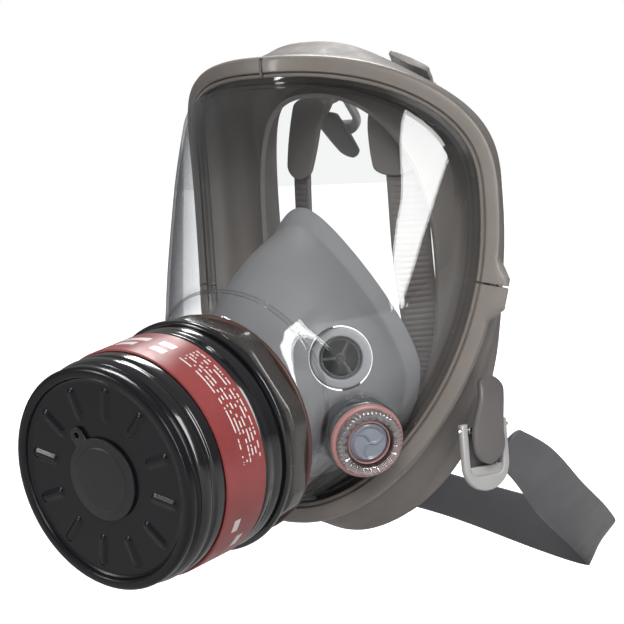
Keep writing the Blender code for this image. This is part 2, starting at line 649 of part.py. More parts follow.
# ---- canister ----
def make_canister():
    place = canister_frame()
    rim, body, flange = CANISTER_RIM_R, CANISTER_BODY_R, CANISTER_FLANGE_R
    shell = [
        (rim - 1.8, 8.0), (rim - 0.2, 8.0), (body - 0.9, 10.5), (body - 0.9, 13.2), (body - 2.0, 15.0),
        (body - 0.9, 16.8), (body - 1.2, BAND_START), (body - 1.2, BAND_END), (body - 0.2, BAND_END + 0.8),
        (body - 0.2, 60.0), (body - 2.6, 60.0), (body - 2.6, 18.0), (body - 3.6, 15.0), (body - 2.6, 12.0),
    ]
    turned("canister_shell", shell, BLACK, place, 30)
    lid = [
        (0.0, RECESS_DEPTH), (RECESS_R, RECESS_DEPTH), (RECESS_R + 0.8, 0.0), (rim - 1.2, 0.0), (rim, 1.2),
        (rim, 4.4), (rim - 0.8, 5.8), (rim, 7.6), (rim - 3.4, 7.6), (RECESS_R - 1.6, RECESS_DEPTH + 1.2),
        (0.0, RECESS_DEPTH + 1.2),
    ]
    front = turned("canister_lid", lid, BLACK, place, 30)
    drill = [(0.0, -8.0), (INLET_R, -8.0), (INLET_R, 12.0), (0.0, 12.0)]
    cut(front, turned("inlet_hole", drill, None, place, 24, CUTTERS))
    for k in range(RIB_COUNT):
        angle = 2 * math.pi * (k + 0.5) / RIB_COUNT
        groove = outline(
            f"rib_groove_{k}",
            [slot_outline(RIB_INNER, RIB_OUTER, 3.0)],
            1.2,
            None,
            place @ Matrix.Translation((0, 0, RECESS_DEPTH * MM)) @ Matrix.Rotation(angle, 4, "Z"),
            CUTTERS,
        )
        cut(front, groove)
    base = [
        (NECK_BORE_R, 58.6), (body - 3.0, 58.6), (body - 3.0, 60.4), (flange - 0.6, 60.4), (flange, 61.0),
        (flange, 63.4), (flange - 0.8, CANISTER_LENGTH), (28.0, CANISTER_LENGTH), (NECK_R + 3.5, 63.0),
        (NECK_R, 64.5), (NECK_R, NECK_END), (NECK_BORE_R, NECK_END),
    ]
    turned("canister_base", base, BLACK, place, 30)
    label = [
        (body - 0.85, BAND_START + 0.3), (body, BAND_START + 0.6), (body, BAND_END - 0.6),
        (body - 0.85, BAND_END - 0.3),
    ]
    turned("canister_label", label, RED, place, 30)
    washer = [(13.4, 83.3), (19.0, 83.3), (19.0, 85.4), (13.4, 85.4)]
    turned("canister_washer", washer, BROWN, place, 30)
    inner = body - 4.0
    for name, start, thickness, radius, mat in (
        ("carbon_bed", CARBON_FRONT, CARBON_BACK - CARBON_FRONT, inner, CARBON),
        ("rear_screen", CARBON_BACK + INNER_GAP, SCREEN_THICK, inner - 0.4, CHROME),
        ("front_screen", CARBON_FRONT - INNER_GAP - SCREEN_THICK, SCREEN_THICK, inner, CHROME),
    ):
        end = start + thickness
        turned(name, [(0.0, start), (radius, start), (radius, end), (0.0, end)], mat, place, 20)
    pleats = [(0.0, PLEAT_FRONT)]
    for k in range(1, int((body - 5.0) / PLEAT_STEP)):
        pleats.append((k * PLEAT_STEP, PLEAT_FRONT + (PLEAT_DEPTH if k % 2 else 0.0)))
    pleats += [(body - 4.6, PLEAT_FRONT), (body - 4.6, PAPER_BACK), (0.0, PAPER_BACK)]
    turned("particle_filter", pleats, PAPER, place, 20)
    plug_profile = [
        (0.0, 0.4), (17.0, 0.4), (18.2, 0.8), (18.6, 1.9), (8.5, 1.9), (8.5, 6.0), (8.7, 6.6), (7.8, 8.4),
        (0.0, 8.4),
    ]
    plug = turned("canister_plug", plug_profile, RUBBER, place, 20)
    drill = [(0.0, -4.0), (PLUG_HOLE_R, -4.0), (PLUG_HOLE_R, 8.0), (0.0, 8.0)]
    cord_hole = turned("plug_cord_hole", drill, None, place, 12, CUTTERS)
    cord_hole.location = metres(port_point(PLUG_HOLE_ANGLE, PLUG_HOLE_AT, 0.0))
    cut(plug, cord_hole)


def slot_outline(inner, outer, width):
    """Rounded slot along local X between two radii."""
    r = width / 2
    points = []
    for centre, start in ((outer - r, -90), (inner + r, 90)):
        for a in spread(math.radians(start), math.radians(start + 180), 2):
            points.append((centre + r * math.cos(a), r * math.sin(a)))
    return points


# ---- buckles, lugs and straps ----
def buckle_outline(half_width, length):
    """Lever plate: two legs from the pin and a round solid end, with a slot for the lug."""
    bend = -length + half_width  # where the round end starts
    outer = [(-half_width, BUCKLE_PIN_END), (-half_width, bend)]
    outer += [
        (half_width * math.cos(math.radians(a)), bend + half_width * math.sin(math.radians(a)))
        for a in range(195, 346, 15)
    ]
    outer += [(half_width, bend), (half_width, BUCKLE_PIN_END)]
    inner = half_width - BUCKLE_LEG
    outer += [(inner, BUCKLE_PIN_END), (inner, bend - 2.0), (inner - 3.0, bend - 5.0)]
    outer += [(-inner + 3.0, bend - 5.0), (-inner, bend - 2.0), (-inner, BUCKLE_PIN_END)]
    return outer


def make_buckles():
    for side, word in SIDES:
        for level, centre, normal, across, half_width, length in (
            ("lower", LOWER_BUCKLE, LOWER_FACE, LOWER_ACROSS, 12.5, 29.0),
            ("upper", UPPER_BUCKLE, (0.0, 0.80, 0.60), (1.0, 0.0, 0.0), 13.0, 24.0),
        ):
            origin = mirrored(centre, side)
            wide = mirrored(across, side)
            place = frame_at(origin, mirrored(normal, side), wide if level == "lower" else across)
            if place.col[1].z < 0.0:
                place = place @ Matrix.Rotation(math.pi, 4, "Z")
            outer = buckle_outline(half_width, length)
            plate = outline(f"buckle_{level}_{word}", [outer], BUCKLE_THICK, BUCKLE, place)
            low, high = origin - wide * 20, origin + wide * 20
            cut(plate, rod(f"pin_bore_{level}_{word}", low, high, PIN_BORE_R, None, 14, CUTTERS))
            reach = wide * (half_width + 1.2)
            rod(f"roller_{level}_{word}", origin - reach, origin + reach, PIN_R, CHROME, 14)


def make_lugs():
    for side, word in SIDES:
        low = mirrored(LOWER_BUCKLE, side)
        out = mirrored(LOWER_FACE, side)
        ribbon(
            f"lug_lower_{word}",
            [
                low + Vector((side * 3.0, 4.0, 23.0)),
                low + out * 6.0 + Vector((0.0, 3.0, 14.0)),
                low + out * 4.6,
                low + out * 4.0 + Vector((0.0, 0.0, -14.5)),
            ],
            [out, out, out, out],
            (13.0, 15.5, 16.0, 13.0),
            3.2,
            SEAL,
        )
        up = (0.0, 0.25, 1.0)
        path = ((43.0, 62.5, 101.0), (36.0, 72.0, 99.5), (29.0, 83.5, 94.0), (27.0, 92.3, 82.0))
        ribbon(
            f"lug_upper_{word}",
            [mirrored(point, side) for point in path],
            [up, up, (0.0, 0.7, 0.7), (0.0, 0.9, 0.45)],
            (20.0, 20.0, 18.5, 16.0),
            3.0,
            SEAL,
        )


def make_straps():
    for side, word in SIDES:
        forward = Vector((0.0, -1.0, 0.0))
        tail_x = -12.0 if side > 0 else -30.0
        ribbon(
            f"upper_strap_{word}",
            [
                (side * 27.0, 81.0, 85.0), (side * 26.5, 77.0, 80.0), (side * 26.0, 74.0, 68.0),
                (side * 26.0, 72.5, 45.0), (side * 26.0, 72.5, 0.0), (side * 25.0, 80.0, -45.0),
                (side * 12.0 + tail_x * 0.5, 114.0, -87.0), (tail_x, 149.0, -114.0),
            ],
            [
                (0.0, -0.7, 0.7), (0.0, -0.9, 0.4), forward, forward, forward, (0.0, -0.9, -0.4),
                (0.0, -0.5, -0.8), (0.2, -0.5, -0.8),
            ],
            (19.0, 19.0, 19.0, 19.0, 19.0, 19.0, 18.0, 18.0),
            STRAP_THICK,
            STRAP,
        )
        ribbon(
            f"strap_pad_{word}",
            [(side * 25.5, 73.5, 84.0), (side * 25.5, 69.5, 72.0), (side * 25.5, 68.5, 47.0)],
            [(0.0, -0.9, 0.3), forward, forward],
            (24.0, 25.0, 22.0),
            2.4,
            STRAP,
        )
        ribbon(
            f"strap_tail_{word}",
            [(side * 27.0, 86.0, 80.0), (side * 27.0, 94.0, 67.0), (side * 27.0, 103.0, 53.0)],
            [(0.0, 0.8, 0.5)] * 3,
            (16.0, 15.0, 12.0),
            2.2,
            STRAP,
        )
    ribbon(
        "neck_strap",
        [
            (71.0, 75.5, -80.0), (66.0, 104.0, -96.0), (51.0, 146.0, -121.0), (35.0, 192.0, -147.0),
            (20.0, 219.0, -161.0), (4.0, 203.0, -155.0), (-24.0, 166.0, -137.0), (-52.0, 118.0, -112.0),
            (-71.0, 75.5, -80.0),
        ],
        [
            (0.80, 0.05, -0.45), (0.76, -0.09, -0.64), (0.76, -0.09, -0.64), (0.6, 0.25, -0.66),
            (-0.31, 0.82, -0.48), (-0.7, 0.45, 0.2), (-0.76, 0.09, 0.64), (-0.79, -0.1, 0.55),
            (-0.8, -0.2, 0.5),
        ],
        (18.0, 24.0, 27.0, 27.0, 26.0, 27.0, 26.0, 24.0, 18.0),
        STRAP_THICK,
        STRAP,
        per_span=5,
    )


make_frame()
make_lens()
make_face_seal()
make_nose_cup()
make_side_ports()
make_adapter()
make_canister()
make_buckles()
make_lugs()
make_straps()
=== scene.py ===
"""Looks of a full face respirator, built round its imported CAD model.

Row frame: +Z up as worn, -Y forward, +X to the wearer's left. Sizes are in millimetres until a mesh is made.
"""

import math

import bmesh
import bpy
from mathutils import Matrix, Vector


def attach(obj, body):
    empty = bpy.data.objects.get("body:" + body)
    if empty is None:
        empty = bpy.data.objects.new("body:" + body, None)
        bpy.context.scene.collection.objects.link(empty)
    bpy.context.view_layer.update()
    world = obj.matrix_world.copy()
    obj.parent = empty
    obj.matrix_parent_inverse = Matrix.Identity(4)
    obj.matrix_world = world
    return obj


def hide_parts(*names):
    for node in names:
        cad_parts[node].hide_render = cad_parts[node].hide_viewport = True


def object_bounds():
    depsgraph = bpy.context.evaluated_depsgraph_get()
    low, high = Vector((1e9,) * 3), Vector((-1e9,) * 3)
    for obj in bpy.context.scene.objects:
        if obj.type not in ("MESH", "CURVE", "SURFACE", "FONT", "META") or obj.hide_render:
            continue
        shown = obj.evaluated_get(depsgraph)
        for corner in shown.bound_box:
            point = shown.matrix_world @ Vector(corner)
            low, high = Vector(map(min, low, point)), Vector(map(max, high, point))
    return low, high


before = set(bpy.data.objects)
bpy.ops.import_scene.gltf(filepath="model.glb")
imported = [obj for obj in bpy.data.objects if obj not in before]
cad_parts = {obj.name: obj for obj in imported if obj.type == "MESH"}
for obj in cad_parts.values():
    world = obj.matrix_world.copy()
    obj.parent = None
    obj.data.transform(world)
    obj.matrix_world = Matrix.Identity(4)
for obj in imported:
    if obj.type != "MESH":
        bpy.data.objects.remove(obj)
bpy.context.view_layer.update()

MM = 0.001
BODY = "facepiece"
SIDES = ((1, "left"), (-1, "right"))

# ---- driving dimensions, mm (the CAD model's own) ----
RIM_HALF_WIDTH = 92.5
RIM_TOP, RIM_BOTTOM, RIM_WIDEST_Z = 107.0, -107.0, 36.0
RIM_POWER_UP, RIM_POWER_DOWN = 2.6, 2.15
RIM_FRONT_Y, RIM_TILT = 6.0, 0.65
WRAP_RADIUS, WRAP_DEPTH = 127.0, 160.0
LIP_WIDTH, LIP_THICK = 9.8, 2.2
WALL_THICK, WALL_DEPTH = 2.2, 12.0
EAR_TOP, EAR_FLAT_TOP, EAR_FLAT_BOTTOM, EAR_BOTTOM, EAR_HEIGHT = 9.0, 0.0, -13.0, -19.0, 5.5
FRAME_SPLIT_Z = -3.5
LENS_THICK, LENS_EDGE_INSET = 2.0, 12.7
LENS_SWELL_LOW, LENS_SWELL_TOP, LENS_FULL_Z = 46.0, 6.0, -10.0
COLLAR_SHARE = 0.17
SEAL_THICK, SEAL_INSET, SEAL_REACH, FOREHEAD_LIFT, CHIN_DROP = 2.6, 4.4, 22.0, 12.0, 19.0
PORT_DROOP = math.radians(7.5)
PORT_AXIS = Vector((0.0, math.cos(PORT_DROOP), math.sin(PORT_DROOP)))
CANISTER_FRONT = Vector((0.0, -118.0, -64.0))
RIM_R, BODY_R, FLANGE_R, CANISTER_LENGTH = 49.5, 51.3, 53.0, 64.0
BAND_START, BAND_END = 22.0, 48.0
RECESS_R, RECESS_DEPTH = 44.5, 2.2
RIB_COUNT, RIB_INNER, RIB_OUTER = 12, 27.0, 40.5
LENS_PORT_S, LENS_PORT_R, LENS_PORT_BORE, LENS_PORT_GROW = 81.0, 40.5, 35.5, 5.6
NUT_FRONT, NUT_BACK, NUT_R = 66.5, 78.0, 51.5
SIDE_PORT_AZ, SIDE_PORT_EL = math.radians(57.0), math.radians(-11.0)
SIDE_PORT_BASE, SIDE_PORT_R = (46.0, -1.0, -62.0), 16.6
VALVE_CENTRE, VALVE_R = (34.0, 6.0, -30.0), 14.3
VALVE_AZ, VALVE_EL = math.radians(42.0), math.radians(7.0)
CUP_HALF_WIDTH = 49.0
UPPER_BUCKLE, LOWER_BUCKLE = (27.0, 86.0, 85.0), (73.0, 56.0, -69.0)

AROUND = 144  # points round the lens, frame and seal


# ---- materials ----
class Tree:
    """A node tree with short ways to add to it."""

    def __init__(self, tree):
        self.tree = tree

    def add(self, kind, **settings):
        node = self.tree.nodes.new(kind)
        for key, value in settings.items():
            setattr(node, key, value)
        return node

    def link(self, source, target):
        self.tree.links.new(source, target)

    def between(self, value, low, high, start=0.3, end=0.7):
        """Maps start..end of a value to low..high."""
        node = self.add("ShaderNodeMapRange")
        for key, number in zip(("From Min", "From Max", "To Min", "To Max"), (start, end, low, high)):
            node.inputs[key].default_value = number
        self.link(value, node.inputs["Value"])
        return node.outputs["Result"]

    def maths(self, operation, *values):
        node = self.add("ShaderNodeMath", operation=operation)
        for slot, value in zip(node.inputs, values):
            if isinstance(value, (int, float)):
                slot.default_value = value
            else:
                self.link(value, slot)
        return node.outputs["Value"]


class Nodes(Tree):
    """A material and its node tree."""

    def __init__(self, name):
        self.material = bpy.data.materials.new(name)
        self.material.use_nodes = True
        super().__init__(self.material.node_tree)
        self.shader = self.tree.nodes["Principled BSDF"]
        self.output = self.tree.nodes["Material Output"]
        self.place = self.add("ShaderNodeTexCoord").outputs["Object"]

    def feed(self, **sources):
        """Gives inputs of the shader a number, a colour or another node's output."""
        for key, value in sources.items():
            target = self.shader.inputs[key.replace("_", " ")]
            if isinstance(value, bpy.types.NodeSocket):
                self.link(value, target)
            else:
                target.default_value = value

    def noise(self, scale, detail=3.0, rough=0.5, stretch=None):
        node = self.add("ShaderNodeTexNoise")
        node.inputs["Scale"].default_value = scale
        node.inputs["Detail"].default_value = detail
        node.inputs["Roughness"].default_value = rough
        place = self.place
        if stretch is not None:
            mapping = self.add("ShaderNodeMapping")
            mapping.inputs["Scale"].default_value = stretch
            self.link(place, mapping.inputs["Vector"])
            place = mapping.outputs["Vector"]
        self.link(place, node.inputs["Vector"])
        return node.outputs["Fac"]

    def colours(self, value, first, second):
        node = self.add("ShaderNodeMix", data_type="RGBA")
        self.link(value, node.inputs["Factor"])
        node.inputs["A"].default_value = (*first, 1.0)
        node.inputs["B"].default_value = (*second, 1.0)
        return node.outputs["Result"]

    def bump(self, height, strength, distance):
        node = self.add("ShaderNodeBump")
        node.inputs["Strength"].default_value = strength
        node.inputs["Distance"].default_value = distance
        self.link(height, node.inputs["Height"])
        self.link(node.outputs["Normal"], self.shader.inputs["Normal"])
        return node


def moulded(name, colour, roughness, vary, grain, depth, coat=0.0, specular=0.5):
    """Moulded plastic or rubber: slow colour drift, uneven gloss and a fine grain."""
    made = Nodes(name)
    drift = made.between(made.noise(28.0, 4.0), 0.0, 1.0)
    darker = tuple(c * (1.0 - vary) for c in colour)
    lighter = tuple(c * (1.0 + vary) for c in colour)
    gloss = made.between(made.noise(75.0, 5.0, 0.6), roughness * 0.85, min(roughness * 1.2, 1.0))
    made.feed(Base_Color=made.colours(drift, darker, lighter), Roughness=gloss)
    made.feed(Specular_IOR_Level=specular, Coat_Weight=coat, Coat_Roughness=0.08)
    made.bump(made.noise(grain, 2.0), 0.35, depth)
    return made.material


def clear_plastic(name, tint, edge, gloss=0.02, weight=1.0):
    """Clear plastic: see-through, with reflections and a darker look along its edges."""
    made = Nodes(name)
    made.tree.nodes.remove(made.shader)
    through = made.add("ShaderNodeBsdfTransparent")
    facing = made.add("ShaderNodeLayerWeight")
    facing.inputs["Blend"].default_value = 0.5
    rim = made.maths("POWER", facing.outputs["Facing"], 2.5)
    made.link(made.colours(rim, tint, edge), through.inputs["Color"])
    shine = made.add("ShaderNodeBsdfGlossy")
    smears = made.noise(45.0, 4.0, 0.6)
    made.link(made.between(smears, gloss, gloss * 2.4), shine.inputs["Roughness"])
    grazing = made.add("ShaderNodeLayerWeight")
    grazing.inputs["Blend"].default_value = 0.5
    steep = made.maths("POWER", grazing.outputs["Facing"], 4.0)
    amount = made.maths("ADD", made.maths("MULTIPLY", steep, 0.75), 0.045 * weight)
    mix = made.add("ShaderNodeMixShader")
    made.link(amount, mix.inputs["Fac"])
    made.link(through.outputs["BSDF"], mix.inputs[1])
    made.link(shine.outputs["BSDF"], mix.inputs[2])
    made.link(mix.outputs["Shader"], made.output.inputs["Surface"])
    return made.material


def bright_metal(name):
    """Plated steel with fine drawn lines and faint smears."""
    made = Nodes(name)
    lines = made.noise(400.0, 2.0, 0.5, (1.0, 1.0, 0.08))
    made.feed(Metallic=1.0, Base_Color=made.colours(lines, (0.55, 0.55, 0.56), (0.8, 0.8, 0.8)))
    made.feed(Roughness=made.between(made.noise(60.0), 0.12, 0.3))
    made.bump(lines, 0.15, 0.00005)
    return made.material


def label_print(name):
    """Red label with broken lines of plain pale bars, small and large; UV u runs round, v along."""
    made = Nodes(name)
    uv = made.add("ShaderNodeTexCoord").outputs["UV"]
    split = made.add("ShaderNodeSeparateXYZ")
    made.link(uv, split.inputs["Vector"])
    u, v = split.outputs["X"], split.outputs["Y"]
    block = made.maths("FRACT", made.maths("MULTIPLY", u, 3.0), 0.0)
    small = bar_rows(made, u, v, 12.0, 120.0, 0.52, (0.40, 0.92), 0.36)
    large = bar_rows(made, u, v, 4.0, 34.0, 0.50, (0.28, 0.72), 0.60)
    small = made.maths("MULTIPLY", small, within(made, block, 0.0, 0.52))
    large = made.maths("MULTIPLY", large, within(made, block, 0.66, 0.94))
    drift = made.between(made.noise(70.0), 0.0, 1.0)
    red = made.colours(drift, (0.225, 0.042, 0.041), (0.265, 0.052, 0.049))
    mix = made.add("ShaderNodeMix", data_type="RGBA")
    made.link(made.maths("MAXIMUM", small, large), mix.inputs["Factor"])
    made.link(red, mix.inputs["A"])
    mix.inputs["B"].default_value = (0.66, 0.62, 0.60, 1.0)
    made.feed(Base_Color=mix.outputs["Result"], Specular_IOR_Level=0.35)
    made.feed(Roughness=made.between(made.noise(120.0), 0.30, 0.42))
    made.bump(made.noise(1500.0, 2.0), 0.2, 0.00002)
    return made.material


def within(made, value, low, high):
    """1 between the two limits, 0 outside them."""
    above = made.maths("GREATER_THAN", value, low)
    return made.maths("MULTIPLY", above, made.maths("LESS_THAN", value, high))


def bar_rows(made, u, v, rows, length, share, span, height):
    """Broken lines of plain bars, in rows along v between the span's limits."""
    level = made.maths("MULTIPLY", v, rows)
    spot = made.add("ShaderNodeCombineXYZ")
    made.link(made.maths("MULTIPLY", u, length), spot.inputs["X"])
    made.link(made.maths("MULTIPLY", made.maths("FLOOR", level, 0.0), 7.3), spot.inputs["Y"])
    broken = made.add("ShaderNodeTexNoise")
    broken.inputs["Scale"].default_value = 1.0
    made.link(spot.outputs["Vector"], broken.inputs["Vector"])
    bars = made.maths("LESS_THAN", broken.outputs["Fac"], share)
    lines = within(made, made.maths("FRACT", level, 0.0), 0.5 - height / 2, 0.5 + height / 2)
    return made.maths("MULTIPLY", made.maths("MULTIPLY", bars, lines), within(made, v, *span))


def granules(name):
    """Loose carbon grains: dark cells with a coarse bump."""
    made = Nodes(name)
    cells = made.add("ShaderNodeTexVoronoi")
    cells.inputs["Scale"].default_value = 700.0
    made.link(made.place, cells.inputs["Vector"])
    grains = cells.outputs["Distance"]
    made.feed(Base_Color=made.colours(grains, (0.03, 0.03, 0.03), (0.006, 0.006, 0.006)), Roughness=0.8)
    made.bump(grains, 0.8, 0.0006)
    return made.material


CLEAR = clear_plastic("lens_polycarbonate", (0.985, 0.99, 0.99), (0.50, 0.51, 0.54), 0.006, 1.0)
CLEAR_THICK = clear_plastic("port_polycarbonate", (0.93, 0.94, 0.94), (0.42, 0.43, 0.44), 0.03, 1.6)
CLEAR_TOOTHED = clear_plastic("toothed_polycarbonate", (0.93, 0.87, 0.87), (0.45, 0.36, 0.37), 0.03, 5.0)
TAUPE = moulded("frame_plastic", (0.150, 0.132, 0.117), 0.40, 0.08, 1400.0, 0.00005, coat=0.15)
TAUPE_GLOSS = moulded("nut_plastic", (0.038, 0.034, 0.031), 0.26, 0.08, 900.0, 0.00004, coat=0.2)
SEAL = moulded("seal_elastomer", (0.158, 0.143, 0.133), 0.55, 0.08, 1600.0, 0.00005, specular=0.35)
CUP = moulded("cup_silicone", (0.215, 0.213, 0.222), 0.46, 0.05, 1500.0, 0.00004, specular=0.4)
VALVE = moulded("valve_plastic", (0.30, 0.30, 0.315), 0.32, 0.06, 1500.0, 0.00004, coat=0.2)
ARMS = moulded("valve_arms", (0.075, 0.075, 0.080), 0.28, 0.06, 1500.0, 0.00004, coat=0.2)
DARK = moulded("valve_dark", (0.020, 0.020, 0.021), 0.35, 0.10, 1200.0, 0.00005)
BLACK = (0.0060, 0.0060, 0.0072)
ENAMEL = moulded("black_enamel_paint", BLACK, 0.14, 0.15, 260.0, 0.00004, coat=0.4, specular=0.4)
LID = moulded("black_lid_paint", (0.006, 0.006, 0.0075), 0.22, 0.15, 700.0, 0.00005, specular=0.24)
RUBBER = moulded("black_rubber_plug", (0.008, 0.008, 0.0095), 0.40, 0.12, 1400.0, 0.00005, specular=0.4)
LABEL = label_print("red_label_print")
ROSE = moulded("rose_silicone_ring", (0.34, 0.175, 0.165), 0.30, 0.10, 1200.0, 0.00005)
DISH = moulded("cover_dish_plastic", (0.165, 0.18, 0.215), 0.12, 0.10, 700.0, 0.00003, coat=0.6)
DISC = moulded("grey_valve_disc", (0.22, 0.22, 0.23), 0.35, 0.08, 1200.0, 0.00004)
BROWN = moulded("brown_rubber_gasket", (0.062, 0.027, 0.023), 0.40, 0.12, 1100.0, 0.00006)
STRAP = moulded("strap_rubber_moulding", (0.135, 0.122, 0.116), 0.55, 0.08, 1500.0, 0.00004, specular=0.35)
NECK = moulded("neck_band_rubber", (0.100, 0.100, 0.106), 0.42, 0.08, 1500.0, 0.00004, specular=0.35)
BUCKLE = moulded("buckle_plastic", (0.36, 0.355, 0.35), 0.30, 0.06, 1300.0, 0.00004, coat=0.2)
LUG = moulded("lug_elastomer", (0.105, 0.098, 0.095), 0.34, 0.08, 1500.0, 0.00004, specular=0.5)
# Upper lugs: a lighter copy of the lug colour. It is a painted sheen that stands in for the light their
# glossy faces reflect.
LUG_PAINTED_SHEEN = moulded("upper_lug_painted_sheen", (0.27, 0.255, 0.245), 0.36, 0.06, 1500.0, 0.00004)
METAL = bright_metal("plated_steel")
CARBON = granules("carbon_granule_bed")
PAPER = moulded("pleated_paper", (0.72, 0.71, 0.66), 0.85, 0.06, 700.0, 0.0002)


# ---- mesh helpers ----
WELD = 0.000002  # m, nearer points become one


def placed(name, data):
    item = bpy.data.objects.new(name, data)
    bpy.context.scene.collection.objects.link(item)
    return item


def finish_mesh(mesh, angle):
    mesh.shade_smooth()
    mesh.set_sharp_from_angle(angle=math.radians(angle))


def tidy_faces(work):
    """Joins doubled points and turns every face outwards."""
    bmesh.ops.remove_doubles(work, verts=work.verts, dist=WELD)
    bmesh.ops.recalc_face_normals(work, faces=work.faces)


def bevel(item, width, segments, angle):
    """Rounds the edges sharper than the angle; width in mm."""
    edge = item.modifiers.new("edge", "BEVEL")
    edge.width = width * MM
    edge.segments = segments
    edge.limit_method = "ANGLE"
    edge.angle_limit = math.radians(angle)


def piece(name, mesh, mat, body, nodes):
    """Links a finished piece, rides it on its body and hides the CAD nodes it stands for."""
    item = placed(name, mesh)
    mesh.materials.append(mat)
    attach(item, body)
    if nodes:
        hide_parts(*nodes)
    return item


def skin(name, rows, mat, body=BODY, nodes=(), loop=False, capped=False, ring=True, angle=40.0):
    """Surface through rows of points (mm): ring closes each row, loop joins last row to first."""
    work = bmesh.new()
    made = [[work.verts.new(Vector(p) * MM) for p in row] for row in rows]
    count = len(made[0])
    pairs = list(zip(made, made[1:])) + ([(made[-1], made[0])] if loop else [])
    for low, high in pairs:
        for i in range(count if ring else count - 1):
            j = (i + 1) % count
            work.faces.new((low[i], low[j], high[j], high[i]))
    if capped:
        work.faces.new(made[0])
        work.faces.new(made[-1][::-1])
    tidy_faces(work)
    mesh = bpy.data.meshes.new(name)
    work.to_mesh(mesh)
    work.free()
    finish_mesh(mesh, angle)
    return piece(name, mesh, mat, body, nodes)


def apply_modifiers(item):
    """Bakes an object's modifiers into its mesh."""
    graph = bpy.context.evaluated_depsgraph_get()
    baked = bpy.data.meshes.new_from_object(item.evaluated_get(graph))
    item.modifiers.clear()
    item.data = baked
    return item


def thicken(item, thickness, rounding=0.0):
    shell = item.modifiers.new("shell", "SOLIDIFY")
    shell.thickness = thickness * MM
    shell.offset = 0.0
    if rounding:
        bevel(item, rounding, 3, 50)
    apply_modifiers(item)
    finish_mesh(item.data, 40.0)
    return item


def frame_at(origin, axis, across=(1.0, 0.0, 0.0)):
    """Matrix (mm) whose local +Z is the axis and whose local +X lies nearest to across."""
    z = Vector(axis).normalized()
    x = Vector(across)
    x = (x - z * x.dot(z)).normalized()
    turn = Matrix((x, z.cross(x), z)).transposed().to_4x4()
    return Matrix.Translation(Vector(origin)) @ turn


def fillet(points, radius, parts=3):
    """Profile with its corners rounded; ends on the axis stay where they are."""
    out = []
    count = len(points)
    on_axis = points[0][0] == 0.0
    for i, here in enumerate(points):
        if on_axis and i in (0, count - 1):
            out.append(here)
            continue
        before, after = Vector(points[i - 1]), Vector(points[(i + 1) % count])
        corner = Vector(here)
        back, ahead = before - corner, after - corner
        first = corner + back * min(radius / max(back.length, 1e-6), 0.45)
        last = corner + ahead * min(radius / max(ahead.length, 1e-6), 0.45)
        for k in range(parts + 1):
            t = k / parts
            out.append(tuple(first * (1 - t) ** 2 + corner * 2 * t * (1 - t) + last * t * t))
    return out


def turned(name, profile, mat, matrix, steps=96, body=BODY, nodes=(), angle=40.0, reach=None):
    """Turned piece from a (radius, height) profile; reach(angle, radius, height) may reshape it."""
    rows = []
    for k in range(steps):
        turn = 2 * math.pi * k / steps
        row = []
        for r, h in profile:
            if reach is not None and r > 0.0:
                r, h = reach(turn, r, h)
            row.append(matrix @ Vector((r * math.cos(turn), r * math.sin(turn), h)))
        rows.append(row)
    closed = profile[0][0] != 0.0
    return skin(name, rows, mat, body, nodes, loop=True, ring=closed, angle=angle)


def outline_piece(name, loops, thickness, mat, matrix, body=BODY, nodes=(), rounding=0.5):
    """Flat moulding with rounded edges from closed outlines (mm); outlines after the first are holes."""
    curve = bpy.data.curves.new(name + "_outline", "CURVE")
    curve.dimensions = "2D"
    curve.fill_mode = "BOTH"
    curve.extrude = max(thickness / 2 - rounding, 0.01) * MM
    curve.bevel_depth = rounding * MM
    curve.bevel_resolution = 2
    curve.offset = -rounding * MM
    for points in loops:
        spline = curve.splines.new("POLY")
        spline.points.add(len(points) - 1)
        for knot, (x, y) in zip(spline.points, points):
            knot.co = (x * MM, y * MM, 0.0, 1.0)
        spline.use_cyclic_u = True
    drawn = placed(name + "_drawn", curve)
    mesh = bpy.data.meshes.new_from_object(drawn.evaluated_get(bpy.context.evaluated_depsgraph_get()))
    bpy.data.objects.remove(drawn)
    place = matrix.copy()
    place.translation = place.translation * MM
    mesh.transform(place)
    weld = bmesh.new()
    weld.from_mesh(mesh)
    tidy_faces(weld)
    weld.to_mesh(mesh)
    weld.free()
    mesh.name = name
    mesh.materials.clear()
    finish_mesh(mesh, 35.0)
    return piece(name, mesh, mat, body, nodes)


def cut_hole(item, start, end, radius):
    """Cuts a round hole through a piece between two points, mm."""
    wide, long = radius * MM, (end - start).length * MM
    work = bmesh.new()
    bmesh.ops.create_cone(work, cap_ends=True, segments=96, radius1=wide, radius2=wide, depth=long)
    mesh = bpy.data.meshes.new("hole_cutter")
    work.to_mesh(mesh)
    work.free()
    cutter = placed("hole_cutter", mesh)
    place = frame_at((start + end) / 2, end - start)
    place.translation = place.translation * MM
    cutter.matrix_world = place
    boolean = item.modifiers.new("hole", "BOOLEAN")
    boolean.operation = "DIFFERENCE"
    boolean.solver = "EXACT"
    boolean.object = cutter
    bpy.context.view_layer.update()
    apply_modifiers(item)
    bpy.data.objects.remove(cutter)
    finish_mesh(item.data, 40.0)


def mirrored(side, point):
    """Point of the wearer's left half, or its mirror image for side -1."""
    return Vector((side * point[0], point[1], point[2]))


def arc(radius, start, end, count, middle=(0.0, 0.0)):
    """Points (mm) along a circle from one angle to another."""
    x, y = middle
    return [(x + radius * math.cos(a), y + radius * math.sin(a)) for a in spread(start, end, count)]


def direction(azimuth, elevation, side=1):
    """Unit vector by its angle from straight ahead and above the horizontal."""
    flat = math.cos(elevation)
    return Vector((side * math.sin(azimuth) * flat, -math.cos(azimuth) * flat, math.sin(elevation)))


def spread(start, end, count):
    """Numbers in equal steps, both ends included."""
    return [start + (end - start) * i / count for i in range(count + 1)]


def catmull(a, b, c, d, t):
    lead = (c - a) * t
    bend = (2 * a - 5 * b + 4 * c - d) * t * t
    return 0.5 * (2 * b + lead + bend + (3 * b - a - 3 * c + d) * t**3)


